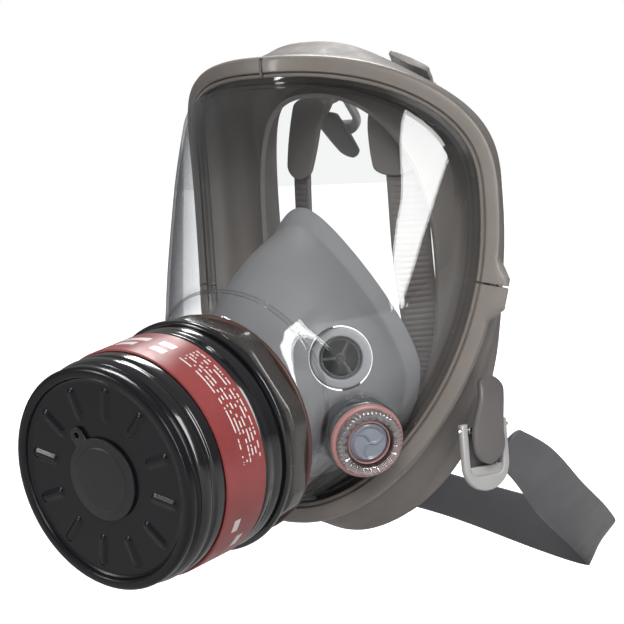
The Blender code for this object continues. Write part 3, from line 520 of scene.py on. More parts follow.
def spline_points(points, per_span):
    """Catmull-Rom curve through the points."""
    knots = [Vector(p) for p in points]
    knots = [2 * knots[0] - knots[1]] + knots + [2 * knots[-1] - knots[-2]]
    out = []
    for a, b, c, d in zip(knots, knots[1:], knots[2:], knots[3:]):
        out += [catmull(a, b, c, d, k / per_span) for k in range(per_span)]
    out.append(knots[-2])
    return out


def distances(line):
    """Distance travelled at each point of a line."""
    travelled = [0.0]
    for p, q in zip(line, line[1:]):
        travelled.append(travelled[-1] + (q - p).length)
    return travelled


def stations(travelled, goals):
    """For each distance, the span of the line it lies in and how far along that span."""
    k = 0
    for goal in goals:
        while k < len(travelled) - 2 and travelled[k + 1] < goal:
            k += 1
        yield k, min((goal - travelled[k]) / max(travelled[k + 1] - travelled[k], 1e-6), 1.0)


# ---- the rim shared by lens, frame and seal ----
def rim_xz(angle):
    """The rim in front view, at an angle from its top."""
    up = math.cos(angle) >= 0.0
    power = RIM_POWER_UP if up else RIM_POWER_DOWN
    reach = (RIM_TOP - RIM_WIDEST_Z) if up else (RIM_WIDEST_Z - RIM_BOTTOM)
    s, c = math.sin(angle), math.cos(angle)
    x = RIM_HALF_WIDTH * math.copysign(abs(s) ** (2 / power), s)
    return x, RIM_WIDEST_Z + reach * math.copysign(abs(c) ** (2 / power), c)


def rim_depth(x, z):
    """How far back the rim's wrap lies at a point of the front view."""
    across = min(abs(x) / WRAP_RADIUS, 0.98)
    return RIM_FRONT_Y + 0.025 * z + WRAP_DEPTH * (1.0 - math.sqrt(1.0 - across * across))


def rim_point(angle, inset=0.0, depth=0.0):
    """Point on the rim, moved inwards along the wrap and rearwards square to it."""
    step = 0.01
    ends = []
    for a in (angle - step, angle, angle + step):
        x, z = rim_xz(a)
        ends.append(Vector((x, rim_depth(x, z), z)))
    tangent = (ends[2] - ends[0]).normalized()
    base = ends[1]
    slope = (rim_depth(base.x + 0.5, base.z) - rim_depth(base.x - 0.5, base.z)) * RIM_TILT
    rearward = Vector((-slope, 1.0, 0.0))
    rearward = (rearward - tangent * rearward.dot(tangent)).normalized()
    return base + rearward.cross(tangent) * inset + rearward * depth


def rim_angles(steps=AROUND):
    return [2 * math.pi * (i + 0.5) / steps for i in range(steps)]


def ear(z):
    """Outward growth of the frame at the joint between its halves."""
    if EAR_FLAT_BOTTOM <= z <= EAR_FLAT_TOP:
        return EAR_HEIGHT
    if EAR_FLAT_TOP < z < EAR_TOP:
        return EAR_HEIGHT * (EAR_TOP - z) / (EAR_TOP - EAR_FLAT_TOP)
    if EAR_BOTTOM < z < EAR_FLAT_BOTTOM:
        return EAR_HEIGHT * (z - EAR_BOTTOM) / (EAR_FLAT_BOTTOM - EAR_BOTTOM)
    return 0.0


def rim_angle_at(z):
    low, high = 0.0, math.pi
    for _ in range(40):
        middle = (low + high) / 2
        if rim_xz(middle)[1] > z:
            low = middle
        else:
            high = middle
    return (low + high) / 2


def frame_section(angle):
    """Channel of the frame: outer wall, rounded shoulder, dark groove and inner lip."""
    grow = -ear(rim_xz(angle)[1])
    corners = (
        (LIP_WIDTH, 1.0), (LIP_WIDTH - 0.3, 0.1), (LIP_WIDTH - 0.9, -0.2), (8.5, -0.25), (8.2, 0.0),
        (8.1, 1.2), (7.6, 1.3), (7.5, 0.2), (7.0, -0.3), (3.0, -0.35), (grow * 0.6 + 1.2, 0.2),
        (grow + 0.3, 1.2), (grow, 2.6), (grow, WALL_DEPTH - 0.8), (grow + 0.5, WALL_DEPTH),
        (WALL_THICK, WALL_DEPTH), (WALL_THICK, LIP_THICK), (LIP_WIDTH, LIP_THICK),
    )
    return [rim_point(angle, inset, depth) for inset, depth in corners]


def make_frame():
    """The two halves of the frame, parted at the ears, and the raised mark at the middle of the brow."""
    split = rim_angle_at(FRAME_SPLIT_Z)
    bends = [rim_angle_at(z) for z in (EAR_TOP, EAR_FLAT_TOP, EAR_FLAT_BOTTOM, EAR_BOTTOM)]
    bends += [-a for a in bends] + [2 * math.pi - a for a in bends]
    gap = 0.003
    for name, start, end in (
        ("upper_frame", -split + gap, split - gap),
        ("lower_frame", split + gap, 2 * math.pi - split - gap),
    ):
        angles = sorted(set(spread(start, end, AROUND) + [a for a in bends if start < a < end]))
        rows = [frame_section(a) for a in angles]
        item = skin(f"{name}_shell", rows, TAUPE, nodes=(name,), capped=True, angle=30.0)
        bevel(item, 0.25, 2, 60)
    mark = [
        rim_point(0.0, inset, depth)
        for inset, depth in (
            (0.6, 0.4), (1.6, -0.7), (5.0, -0.8), (9.0, -0.9), (LIP_WIDTH, 0.0), (LIP_WIDTH, 1.0), (0.6, 1.4)
        )
    ]
    rows = [[p + Vector((x, 0.0, 0.0)) for p in mark] for x in (-0.7, -0.45, 0.45, 0.7)]
    skin("frame_centre_mark", rows, TAUPE_GLOSS, capped=True, angle=30.0)


# ---- lens ----
def rim_reach(x, z):
    """0 at the middle of the rim's front view, 1 on the rim."""
    up = z >= RIM_WIDEST_Z
    power = RIM_POWER_UP if up else RIM_POWER_DOWN
    height = (RIM_TOP - RIM_WIDEST_Z) if up else (RIM_WIDEST_Z - RIM_BOTTOM)
    total = (abs(x) / RIM_HALF_WIDTH) ** power + (abs(z - RIM_WIDEST_Z) / height) ** power
    return min(total ** (1 / power), 1.0)


def lens_y(x, z):
    """Front of the swollen lens at a point of the front view."""
    level = min(max((z - LENS_FULL_Z) / (RIM_TOP - LENS_FULL_Z), 0.0), 1.0)
    swell = LENS_SWELL_LOW + (LENS_SWELL_TOP - LENS_SWELL_LOW) * level**0.9
    return rim_depth(x, z) - swell * (1.0 - rim_reach(x, z) ** 3)


def port_point(angle, radius, s):
    """Point round the canister's axis, s behind the canister's front."""
    up = Vector((0.0, -math.sin(PORT_DROOP), math.cos(PORT_DROOP)))
    side = Vector((1.0, 0.0, 0.0))
    return CANISTER_FRONT + PORT_AXIS * s + (side * math.sin(angle) + up * math.cos(angle)) * radius


def port_radius(angle):
    return LENS_PORT_R + LENS_PORT_GROW * (0.5 + 0.5 * math.cos(angle))


def lens_ray(angle, skin_depth, rows):
    """Lens surface from its port to its edge, in equal steps."""
    near = port_point(angle, port_radius(angle) + 0.5 - skin_depth * 0.8, LENS_PORT_S + 1.0 + skin_depth)
    far = rim_point(angle, LENS_EDGE_INSET + skin_depth)
    fine = []
    for share in spread(0.0, 1.0, 160):
        x = near.x + (far.x - near.x) * share
        z = near.z + (far.z - near.z) * share
        rise = min(share / COLLAR_SHARE, 1.0)
        mixed = rise * rise * (3.0 - 2.0 * rise)
        fine.append(Vector((x, near.y + (lens_y(x, z) + skin_depth - near.y) * mixed, z)))
    travelled = distances(fine)
    out = []
    for k, step in stations(travelled, spread(0.0, travelled[-1], rows)):
        out.append(fine[k].lerp(fine[k + 1], step))
    return out


def side_place(side):
    """Base point and axis of an exhalation port."""
    return mirrored(side, SIDE_PORT_BASE), direction(SIDE_PORT_AZ, SIDE_PORT_EL, side)


def make_lens():
    """Clear shell with its holes for the ports, and the moulded bead round the middle one."""
    angles = rim_angles()
    rows = 72
    edge_inset, edge_depth, bead_size = 3.4, 2.6, 1.1
    outside = [
        [port_point(a, LENS_PORT_BORE, LENS_PORT_S) for a in angles],
        [port_point(a, port_radius(a) - 0.9, LENS_PORT_S) for a in angles],
        [port_point(a, port_radius(a) - 0.1, LENS_PORT_S + 0.25) for a in angles],
    ]
    rays = [lens_ray(a, 0.0, rows) for a in angles]
    bead_row = round(COLLAR_SHARE * rows * 0.8)
    outside += [list(ring) for ring in zip(*rays)]
    for inset in (LENS_EDGE_INSET - 0.6, edge_inset):
        outside.append([rim_point(a, inset, edge_depth) for a in angles])
    inside = [[port_point(a, LENS_PORT_BORE, LENS_PORT_S + LENS_THICK) for a in angles]]
    inside += [list(ring) for ring in zip(*[lens_ray(a, LENS_THICK, rows) for a in angles])]
    inside += [
        [rim_point(a, LENS_EDGE_INSET + LENS_THICK - 0.4, edge_depth + LENS_THICK) for a in angles],
        [rim_point(a, edge_inset, edge_depth + LENS_THICK) for a in angles],
    ]
    bead = []
    for ray in rays:
        centre = ray[bead_row] + Vector((0.0, -0.4, 0.0))
        outward = (ray[bead_row + 1] - ray[bead_row - 1]).normalized()
        row = []
        for turn in spread(0.0, 2 * math.pi, 10)[:-1]:
            forward = Vector((0.0, math.cos(turn), 0.0)) * bead_size
            row.append(centre + forward + outward * math.sin(turn) * bead_size)
        bead.append(row)
    skin("lens_collar_bead", bead, CLEAR_THICK, loop=True, angle=60.0)
    rows = outside + inside[::-1]
    lens = skin("lens_shell", rows, CLEAR, nodes=("lens",), loop=True, angle=50.0)
    for side, _ in SIDES:
        base, axis = side_place(side)
        cut_hole(lens, base - axis * 14, base + axis * 22, SIDE_PORT_R + 0.5)


# ---- face seal ----
def opening_point(angle, half_width, top, bottom, y_mid, y_side):
    s, c = math.sin(angle), math.cos(angle)
    middle = (top + bottom) / 2 + 8.0
    reach = (top - middle) if c >= 0 else (middle - bottom)
    x = half_width * math.copysign(abs(s) ** 0.85, s)
    z = middle + reach * math.copysign(abs(c) ** 0.85, c)
    return Vector((x, y_mid + (y_side - y_mid) * (x / half_width) ** 2, z))


def make_face_seal():
    """Soft seal from its groove in the frame back to the face and round into its inner lip."""
    angles = rim_angles()
    rings = [[rim_point(a, SEAL_INSET, depth) for a in angles] for depth in (7.6, 13.0)]
    for inwards, back in ((1.5, 8.0), (5.0, 15.0), (9.5, 21.5)):
        row = []
        for a in angles:
            forehead = max(math.cos(a), 0.0) ** 8
            chin = max(-math.cos(a), 0.0)
            point = rim_point(a, SEAL_INSET, 13.0)
            point.x -= inwards * math.sin(a)
            lift = (forehead * FOREHEAD_LIFT - chin * CHIN_DROP) * back / SEAL_REACH
            point.z += lift - 0.4 * inwards * math.cos(a)
            point.y += back * (1.0 + 0.4 * chin)
            row.append(point)
        rings.append(row)
    for half_width, top, bottom, y_mid, y_side in (
        (66.0, 105.0, -115.0, 50.0, 85.0),
        (61.0, 98.0, -107.0, 51.0, 82.0),
        (55.0, 91.0, -93.0, 47.0, 72.0),
        (51.0, 87.0, -84.0, 41.0, 60.0),
    ):
        rings.append([opening_point(a, half_width, top, bottom, y_mid, y_side) for a in angles])
    rows = list(zip(*[spline_points(column, 5) for column in zip(*rings)]))
    seal = skin("face_seal_skin", rows, SEAL, nodes=("face_seal",), angle=60.0)
    thicken(seal, SEAL_THICK - 0.2, 0.6)


# ---- nose cup and inhalation valves ----
def cup_edge(angle):
    s, c = math.sin(angle), math.cos(angle)
    z = -38.0 + (74.0 if c >= 0 else 48.0) * c
    x = CUP_HALF_WIDTH * s * (1.0 - 0.42 * max(c, 0.0) ** 1.3)
    return Vector((x, 34.0 + 10.0 * (x / CUP_HALF_WIDTH) ** 2 - 6.0 * max(c, 0.0), z))


def cup_ring(angle, share):
    """The nose cup between its front ring (share 0) and its edge on the face (share 1)."""
    front = port_point(angle, 29.0, 97.0)
    bulge = math.sin(math.pi * min(share * 1.15, 1.0)) * (6.0 + 3.0 * math.cos(angle))
    outward = Vector((math.sin(angle), -0.35, math.cos(angle) * 0.6)).normalized()
    return front.lerp(cup_edge(angle), share) + outward * bulge


def valve_place(side):
    """Centre and axis of an inhalation valve."""
    return mirrored(side, VALVE_CENTRE), direction(VALVE_AZ, VALVE_EL, side)


def cup_relief(point):
    """Height of the moulded crescent above each valve."""
    side = 1 if point.x >= 0 else -1
    centre, axis = valve_place(side)
    offset = point - centre
    flat = offset - axis * offset.dot(axis)
    above = max(min((flat.z + 4.0) / 12.0, 1.0), 0.0)
    height, radius, softness = 2.0, 22.5, 0.7
    return height / (1.0 + math.exp((flat.length - radius) / softness)) * above


def make_nose_cup():
    """Inner cup with a valve in each cheek: ring, arms, disc and hub."""
    angles = rim_angles(160)
    rings = [[port_point(a, 25.2, 89.0) for a in angles], [port_point(a, 25.4, 95.5) for a in angles]]
    for share in spread(0.0, 1.0, 60):
        row = []
        for a in angles:
            point = cup_ring(a, share)
            outward = Vector((math.sin(a), -0.9, math.cos(a) * 0.6)).normalized()
            row.append(point + outward * cup_relief(point))
        rings.append(row)
    cup = skin("nose_cup_skin", rings, CUP, nodes=("nose_cup",), angle=60.0)
    thicken(cup, 2.2, 0.6)
    for side, word in SIDES:
        centre, axis = valve_place(side)
        cut_hole(cup, centre - axis * 22, centre + axis * 16, VALVE_R + 0.3)
        place = frame_at(centre, axis, (0, 0, 1))
        ring = [
            (9.6, 5.6), (10.2, 6.4), (VALVE_R - 0.9, 6.4), (VALVE_R - 0.4, 5.8), (VALVE_R - 0.4, 3.0),
            (VALVE_R - 0.4, -4.0), (VALVE_R - 2.2, -6.0), (9.6, -6.0), (9.4, 3.0),
        ]
        nodes = (f"inhale_seat_{word}", f"inhale_retainer_{word}")
        turned(f"inhale_ring_{word}", fillet(ring, 0.7), VALVE, place, 72, nodes=nodes)
        nodes = (f"inhale_spider_{word}",)
        spider(f"inhale_arms_{word}", 9.3, 2.4, 1.2, raised(place, 1.2), 1.8, ARMS, nodes)
        body = f"inhale_flap_{word}"
        dish = [(0.0, -6.3), (8.0, -6.35), (10.8, -6.5), (10.8, -7.0), (8.0, -7.2), (0.0, -7.3)]
        turned(f"inhale_disc_{word}", dish, DARK, place, 64, body, (body,))
        hub = [(0.0, 3.6), (1.5, 3.4), (1.9, 2.6), (1.9, 1.0), (0.0, 1.0)]
        turned(f"inhale_hub_{word}", hub, DARK, place, 32)


def raised(place, height):
    """The same place moved along its own axis, mm."""
    return place @ Matrix.Translation((0.0, 0.0, height))


def spider(name, radius, hub, bar, place, height, mat, nodes, arms=3):
    """Hub with arms inside a thin ring, one flat moulding."""
    inner = radius - bar
    step = 2 * math.pi / arms
    far, near = math.asin(bar / 2 / inner), math.asin(min(bar / 2 / hub, 0.9))
    loops = [arc(radius, 0.0, 2 * math.pi, 64)[:-1]]
    for k in range(arms):
        arm = math.pi / 2 + step * k
        outer_edge = arc(inner, arm + far, arm + step - far, 16)
        loops.append(outer_edge + arc(hub, arm + step - near, arm + near, 6))
    outline_piece(name, loops, height, mat, place, nodes=nodes, rounding=0.25)


# ---- side ports ----
def vane_height(turn, radius):
    """Raised lines on the cover's middle: three curved vanes and the ring they end in."""
    ring = math.exp(-(((radius - 7.4) / 0.45) ** 2))
    vanes = 0.0
    for k in range(3):
        lead = 2 * math.pi * k / 3 + 0.12 * radius
        off = math.atan2(math.sin(turn - lead), math.cos(turn - lead)) * radius
        vanes = max(vanes, math.exp(-((off / 0.5) ** 2)))
    return 0.9 * max(ring, vanes if radius < 7.4 else 0.0)


def make_side_ports():
    """Exhalation ports: clear collar, rose ring, seat, disc, and the toothed cover with its dish."""
    r = SIDE_PORT_R
    teeth, windows = 44, 22
    for side, word in SIDES:
        base, axis = side_place(side)
        place = frame_at(base, axis, (0, 0, 1))
        collar = [
            (r - 3.4, 11.0), (r + 0.7, 11.0), (r + 0.9, 9.6), (r + 0.2, 8.6), (r, -3.0), (r - 5.0, -3.0),
            (r - 5.0, -2.0), (r - 3.4, -2.0),
        ]
        nodes = (f"side_port_{word}",)
        turned(f"port_collar_{word}", fillet(collar, 0.6), CLEAR_THICK, place, 96, nodes=nodes)
        seal = [
            (r - 1.9, 14.4), (r - 0.6, 14.4), (r + 0.2, 13.6), (r - 0.2, 12.9), (r + 0.3, 12.2),
            (r - 0.4, 11.3), (r - 1.9, 11.3),
        ]
        nodes = (f"side_seal_{word}",)
        turned(f"port_ring_{word}", fillet(seal, 0.5), ROSE, place, 96, nodes=nodes)
        nodes = (f"side_seat_{word}",)
        spider(f"port_seat_{word}", r - 3.8, 3.0, 1.6, raised(place, -0.8), 1.8, VALVE, nodes)
        disc = [(0.0, 1.5), (3.0, 1.4), (6.0, 0.9), (9.0, 1.2), (r - 5.2, 1.1), (r - 5.2, 0.4), (0.0, 0.4)]
        body = f"exhale_disc_{word}"
        turned(f"port_disc_{word}", fillet(disc, 0.3), DISC, place, 64, body, (body,))
        cover = [
            (10.2, 15.2), (10.9, 17.9), (r - 2.6, 18.4), (r - 1.4, 17.6), (r - 1.2, 14.7), (r - 4.6, 14.7),
            (r - 4.6, 7.0), (r - 6.2, 7.0), (r - 6.4, 13.9),
        ]

        def knurl(turn, radius, height):
            if radius > r - 3.2 and height > 14.7:
                return radius - 0.6 * (0.5 + 0.5 * math.cos(turn * teeth)) ** 3, height
            if radius > r - 6.0 and height > 17.0:
                return radius, height - 1.3 * (0.5 + 0.5 * math.cos(turn * windows)) ** 4
            return radius, height

        body = f"side_cover_{word}"
        cover = fillet(cover, 0.45)
        turned(f"port_cover_{word}", cover, CLEAR_TOOTHED, place, 352, body, (body,), reach=knurl)
        rim = [(9.2, 14.2), (9.2, 16.1), (9.7, 16.1), (9.9, 14.2)]
        turned(f"port_cover_rim_{word}", fillet(rim, 0.3), ROSE, place, 96, body)
        middle = [(0.0, 15.6)] + [(q, 15.6 - 0.004 * q * q) for q in spread(0.6, 8.4, 26)]
        middle += [(8.8, 14.6), (8.8, 14.0), (0.0, 14.0)]

        def vanes(turn, radius, height):
            return radius, height + (vane_height(turn, radius) if height > 14.7 else 0.0)

        turned(f"port_dish_{word}", middle, DISH, place, 120, body, reach=vanes, angle=60.0)


# ---- adapter and canister ----
def canister_place(s=0.0):
    return frame_at(CANISTER_FRONT + PORT_AXIS * s, PORT_AXIS)


def make_adapter():
    """Ring nut with flats, brown seal ring, and the socket with its valve and washer."""
    place = canister_place()
    corners = 8
    turn = math.radians(8)

    def facets(angle, radius, height):
        if radius < LENS_PORT_R:
            return radius, height
        around = (angle + turn) % (2 * math.pi / corners) - math.pi / corners
        flat = (NUT_R - 2.3) / math.cos(around)
        return radius - NUT_R + min(flat, NUT_R), height

    nut = [
        (NUT_R - 4.6, NUT_FRONT), (NUT_R - 1.6, NUT_FRONT + 1.2), (NUT_R, NUT_FRONT + 3.0), (NUT_R, NUT_BACK),
        (38.4, NUT_BACK), (38.4, NUT_FRONT + 3.4), (25.4, NUT_FRONT + 3.4), (25.4, NUT_FRONT + 0.6),
        (44.0, NUT_FRONT + 0.6), (45.0, NUT_FRONT),
    ]
    turned(
        "adapter_ring_nut", fillet(nut, 0.8), TAUPE_GLOSS, place, 192, nodes=("adapter_nut",),
        reach=facets, angle=25.0,
    )
    gasket = [(36.0, 78.3), (50.4, 78.3), (51.0, 79.5), (50.4, 80.6), (36.0, 80.6)]
    gasket = fillet(gasket, 0.6)
    turned("adapter_seal_ring", gasket, BROWN, place, 120, nodes=("adapter_gasket",))
    socket = [
        (20.7, 67.0), (24.8, 67.0), (24.8, 70.6), (35.0, 70.6), (35.0, 83.6), (37.6, 83.6), (37.6, 86.6),
        (23.8, 86.6), (23.8, 98.0), (18.8, 98.0), (18.8, 88.4), (13.0, 88.4), (13.0, 85.8), (20.7, 85.8),
    ]
    turned("adapter_socket", fillet(socket, 0.5), TAUPE, place, 96, nodes=("adapter_body",))
    spider("adapter_arms", 18.4, 4.0, 2.2, raised(place, 92.0), 1.6, VALVE, ("adapter_spider",))
    flap = [(0.0, 93.4), (16.6, 93.5), (16.6, 94.1), (10.0, 94.4), (0.0, 94.5)]
    turned("adapter_disc", flap, ROSE, place, 64, "adapter_flap", ("adapter_flap",))
    washer = fillet([(13.4, 83.3), (19.0, 83.3), (19.0, 85.4), (13.4, 85.4)], 0.5)
    body = "canister_washer"
    turned("neck_washer", washer, BROWN, place, 72, body, (body,))


def rib_height(turn, radius):
    """Height of the lid's pressed ribs: rounded ridges along radii."""
    step = 2 * math.pi / RIB_COUNT
    off = turn % step - step / 2
    half, height, softness = 1.6, 1.15, 0.28
    along = max(RIB_INNER + half - radius * math.cos(off), radius * math.cos(off) - RIB_OUTER + half, 0.0)
    away = math.hypot(along, radius * math.sin(off))
    return height / (1.0 + math.exp((away - half) / softness))


def make_lid(place):
    """Recessed front of the canister: rolled rim and pressed ribs round a flat middle."""
    steps = 360
    radii = [0.0] + spread(6.0, 18.0, 4) + spread(19.0, 25.0, 5) + spread(25.5, 42.0, 44)
    radii += [43.0, 43.8, 44.2]
    rim = [
        (RECESS_R + 0.05, RECESS_DEPTH - 0.5), (RECESS_R + 0.2, 0.9), (RECESS_R + 0.5, 0.3),
        (RECESS_R + 1.1, 0.0), (RIM_R - 1.6, 0.0), (RIM_R - 0.6, 0.35), (RIM_R, 1.2), (RIM_R, 4.2),
        (RIM_R - 0.3, 5.0), (RIM_R - 0.9, 5.8), (RIM_R - 0.4, 6.8), (RIM_R - 0.3, 7.6), (RIM_R - 3.4, 7.6),
        (RECESS_R - 1.6, RECESS_DEPTH + 1.2), (0.0, RECESS_DEPTH + 1.2),
    ]
    rows = []
    for k in range(steps):
        turn = 2 * math.pi * (k + 0.5) / steps
        row = []
        for radius in radii:
            fillet_drop = max(0.0, (radius - 42.6) / 2.0) ** 2
            height = RECESS_DEPTH - rib_height(turn, radius) * 0.9 - fillet_drop
            row.append(place @ Vector((radius * math.cos(turn), radius * math.sin(turn), height)))
        row += [place @ Vector((r * math.cos(turn), r * math.sin(turn), h)) for r, h in rim]
        rows.append(row)
    skin(
        "canister_front_lid", rows, LID, "canister", ("canister_lid",), loop=True, ring=False,
        angle=50.0,
    )


def make_plug(place):
    """Rubber plug: round flange with a pull tab and its hole, crown in front and stem behind."""
    tab_angle, tab_reach, tab_half = math.radians(-118.0), 25.4, 3.6
    radius = 18.3
    lead = math.asin(tab_half / radius)
    outline = arc(radius, tab_angle + lead, tab_angle + 2 * math.pi - lead, 90)
    centre = tab_reach - tab_half
    tip = (centre * math.cos(tab_angle), centre * math.sin(tab_angle))
    outline += arc(tab_half, tab_angle - math.pi / 2, tab_angle + math.pi / 2, 16, tip)
    hole = arc(1.3, 0.0, 2 * math.pi, 20, tip)[:-1]
    body, slot = "canister_plug", "black_rubber"
    outline_piece("plug_flange", [outline, hole], 1.4, RUBBER, raised(place, 1.15), body, (body,), 0.35)
    crown = [(0.0, 0.1), (6.0, 0.0), (13.6, 0.1), (14.4, 0.45), (14.5, 1.0), (0.0, 1.0)]
    turned("plug_crown", fillet(crown, 0.3), RUBBER, place, 90, body)
    stem = [(0.0, 1.6), (8.5, 1.6), (8.5, 6.0), (8.7, 6.6), (7.8, 8.4), (0.0, 8.4)]
    turned("plug_stem", fillet(stem, 0.4), RUBBER, place, 60, body)


def make_canister():
    """Black can with its beads and rear flange, lid, plug and red label band."""
    place = canister_place()
    r = BODY_R
    can = [
        (RIM_R - 1.8, 8.0), (RIM_R - 0.2, 8.0), (r - 1.5, 9.0), (r - 0.9, 10.5), (r - 0.75, 12.0),
        (r - 0.9, 13.2), (r - 1.7, 14.2), (r - 1.9, 15.0), (r - 1.7, 15.8), (r - 0.9, 16.8),
        (r - 1.0, BAND_START), (r - 1.2, BAND_START + 0.3), (r - 1.2, BAND_END - 0.3),
        (r - 0.6, BAND_END + 0.8),
        (r - 0.2, BAND_END + 1.8), (r - 0.5, 52.0), (r - 0.9, 54.0), (r - 0.4, 56.0), (r - 0.2, 58.0),
        (r - 0.4, 60.0), (r - 2.6, 60.0), (r - 2.6, 18.0), (r - 3.6, 15.0), (r - 2.6, 12.0),
    ]
    can = fillet(can, 0.5, 2)
    turned("canister_can", can, ENAMEL, place, 144, "canister", ("canister_shell",))
    rear = [
        (14.0, 58.6), (r - 3.0, 58.6), (r - 3.0, 60.4), (FLANGE_R - 0.8, 60.4), (FLANGE_R, 61.2),
        (FLANGE_R, 63.2), (FLANGE_R - 0.9, CANISTER_LENGTH), (46.0, CANISTER_LENGTH), (45.0, 63.2),
        (28.0, 63.2), (26.0, CANISTER_LENGTH), (23.5, 63.0), (20.0, 64.5), (20.0, 83.0), (14.0, 83.0),
    ]
    rear = fillet(rear, 0.6)
    turned("canister_rear", rear, ENAMEL, place, 120, "canister", ("canister_base",))
    make_lid(place)
    make_plug(place)
    band = [
        (r - 0.85, BAND_START + 0.3), (r - 0.02, BAND_START + 0.5), (r - 0.02, BAND_END - 0.5),
        (r - 0.85, BAND_END - 0.3),
    ]
    nodes = ("canister_label",)
    unwrap(turned("canister_label_band", band, LABEL, place, 180, "canister", nodes), place)


def unwrap(item, place):
    """UV: u runs round the axis, v along the label."""
    back = place.inverted()
    layer = item.data.uv_layers.new(name="around")
    for face in item.data.polygons:
        spots = []
        for index in face.loop_indices:
            point = back @ (item.data.vertices[item.data.loops[index].vertex_index].co / MM)
            around = math.atan2(point.y, point.x) / (2 * math.pi) + 0.5
            spots.append([index, around, (point.z - BAND_START) / (BAND_END - BAND_START)])
        low = min(s[1] for s in spots)
        for index, u, v in spots:
            crosses_seam = low < 0.25 and u > 0.75
            layer.data[index].uv = (u - 1.0 if crosses_seam else u, v)


# ---- straps, lugs and buckles ----
def band_piece(
    name, path, faces, widths, thickness, mat, nodes, step=2.0, rib=0.0, pitch=2.2, ends=(0.0, 0.0)
):
    """Moulded strap with rounded edges; rib is the height of its cross ribs, ends round its ends."""
    line, normals = spline_points(path, 24), spline_points(faces, 24)
    spans = spline_points([(w, 0, 0) for w in widths], 24)
    travelled = distances(line)
    total = travelled[-1]
    count = max(8, int(total / step))
    if rib:
        goals = [total * i / count for i in range(count + 1)]
    else:
        goals = [total * (0.5 - 0.5 * math.cos(math.pi * i / count)) for i in range(count + 1)]
    rows = []
    around = 20
    for goal, (k, t) in zip(goals, stations(travelled, goals)):
        here = line[k].lerp(line[k + 1], t)
        before, after = line[max(k - 1, 0)], line[min(k + 2, len(line) - 1)]
        ahead = (after - before).normalized()
        across = ahead.cross(normals[k].lerp(normals[k + 1], t)).normalized()
        up = across.cross(ahead).normalized()
        half = (spans[k].x * (1 - t) + spans[k + 1].x * t) / 2
        for rounding, left in ((ends[0], goal), (ends[1], total - goal)):
            if rounding and left < rounding:
                half *= math.sqrt(max(1.0 - ((rounding - left) / rounding) ** 2, 0.02))
        wave = 0.5 + 0.5 * math.cos(2 * math.pi * goal / pitch)
        row = []
        for i in range(around):
            a = 2 * math.pi * (i + 0.5) / around
            c, s = math.cos(a), math.sin(a)
            wide = half * math.copysign(abs(c) ** 0.45, c)
            inner = min(max((half * 0.86 - abs(wide)) / 0.6, 0.0), 1.0)
            tall = (thickness / 2 - rib * inner * wave**2) * math.copysign(abs(s) ** 0.45, s)
            row.append(here + across * wide + up * tall)
        rows.append(row)
    return skin(name, rows, mat, nodes=nodes, capped=True, angle=50.0)


def buckle_outline(half_width, length):
    """Outline of a buckle: two legs down from the bar into a round tip with a slot between them."""
    leg = 3.6
    tip = -length + half_width
    outer = [(-half_width, 3.0), (-half_width, tip)]
    outer += arc(half_width, math.radians(186), math.radians(354), 28, (0.0, tip))
    outer += [(half_width, tip), (half_width, 3.0)]
    inner = half_width - leg
    outer += [(inner, 3.0), (inner, tip - 2.0), (inner - 1.0, tip - 4.2), (inner - 3.2, tip - 5.2)]
    return outer + [(-inner + 3.2, tip - 5.2), (-inner + 1.0, tip - 4.2), (-inner, tip - 2.0), (-inner, 3.0)]


def buckle_web(half_width, length, top):
    """Thin wall that closes the lower part of a buckle's loop."""
    inner = half_width - 2.6
    tip = -length + half_width
    lead = math.asin((tip - top) / inner)
    return arc(inner, math.pi + lead, 2 * math.pi - lead, 30, (0.0, tip))


def make_buckles():
    """Four buckles, each on a plated bar with a sleeve between its legs."""
    for side, word in SIDES:
        for level, centre, normal, across, half_width, length in (
            ("lower", LOWER_BUCKLE, (0.94, -0.34, 0.0), (0.34, 0.94, 0.0), 12.5, 29.0),
            ("upper", UPPER_BUCKLE, (0.0, 0.80, 0.60), (1.0, 0.0, 0.0), 13.0, 24.0),
        ):
            origin, wide = mirrored(side, centre), mirrored(side, across)
            place = frame_at(origin, mirrored(side, normal), wide if level == "lower" else Vector((1, 0, 0)))
            if place.col[1].z < 0.0:
                place = place @ Matrix.Rotation(math.pi, 4, "Z")
            body, slot = f"buckle_{level}_{word}", "buckle_grey"
            plate = buckle_outline(half_width, length)
            outline_piece(f"{body}_plate", [plate], 3.4, BUCKLE, place, body, (body,), 0.9)
            if level == "lower":
                web = buckle_web(half_width, length, -17.5)
                outline_piece(f"{body}_web", [web], 1.4, BUCKLE, raised(place, -0.5), body, (), 0.3)
            roller, place = f"roller_{level}_{word}", frame_at(origin, wide, (0, 0, 1))
            reach = half_width + 1.2
            pin = [(0.0, -reach), (0.75, -reach), (1.0, -reach + 0.4)]
            pin += [(1.0, reach - 0.4), (0.75, reach), (0.0, reach)]
            turned(f"{roller}_bar", pin, METAL, place, 28, nodes=(roller,))
            reach = half_width - 4.0
            sleeve = fillet([(1.05, -reach), (1.9, -reach), (1.9, reach), (1.05, reach)], 0.25)
            turned(f"{roller}_sleeve", sleeve, METAL, place, 32)


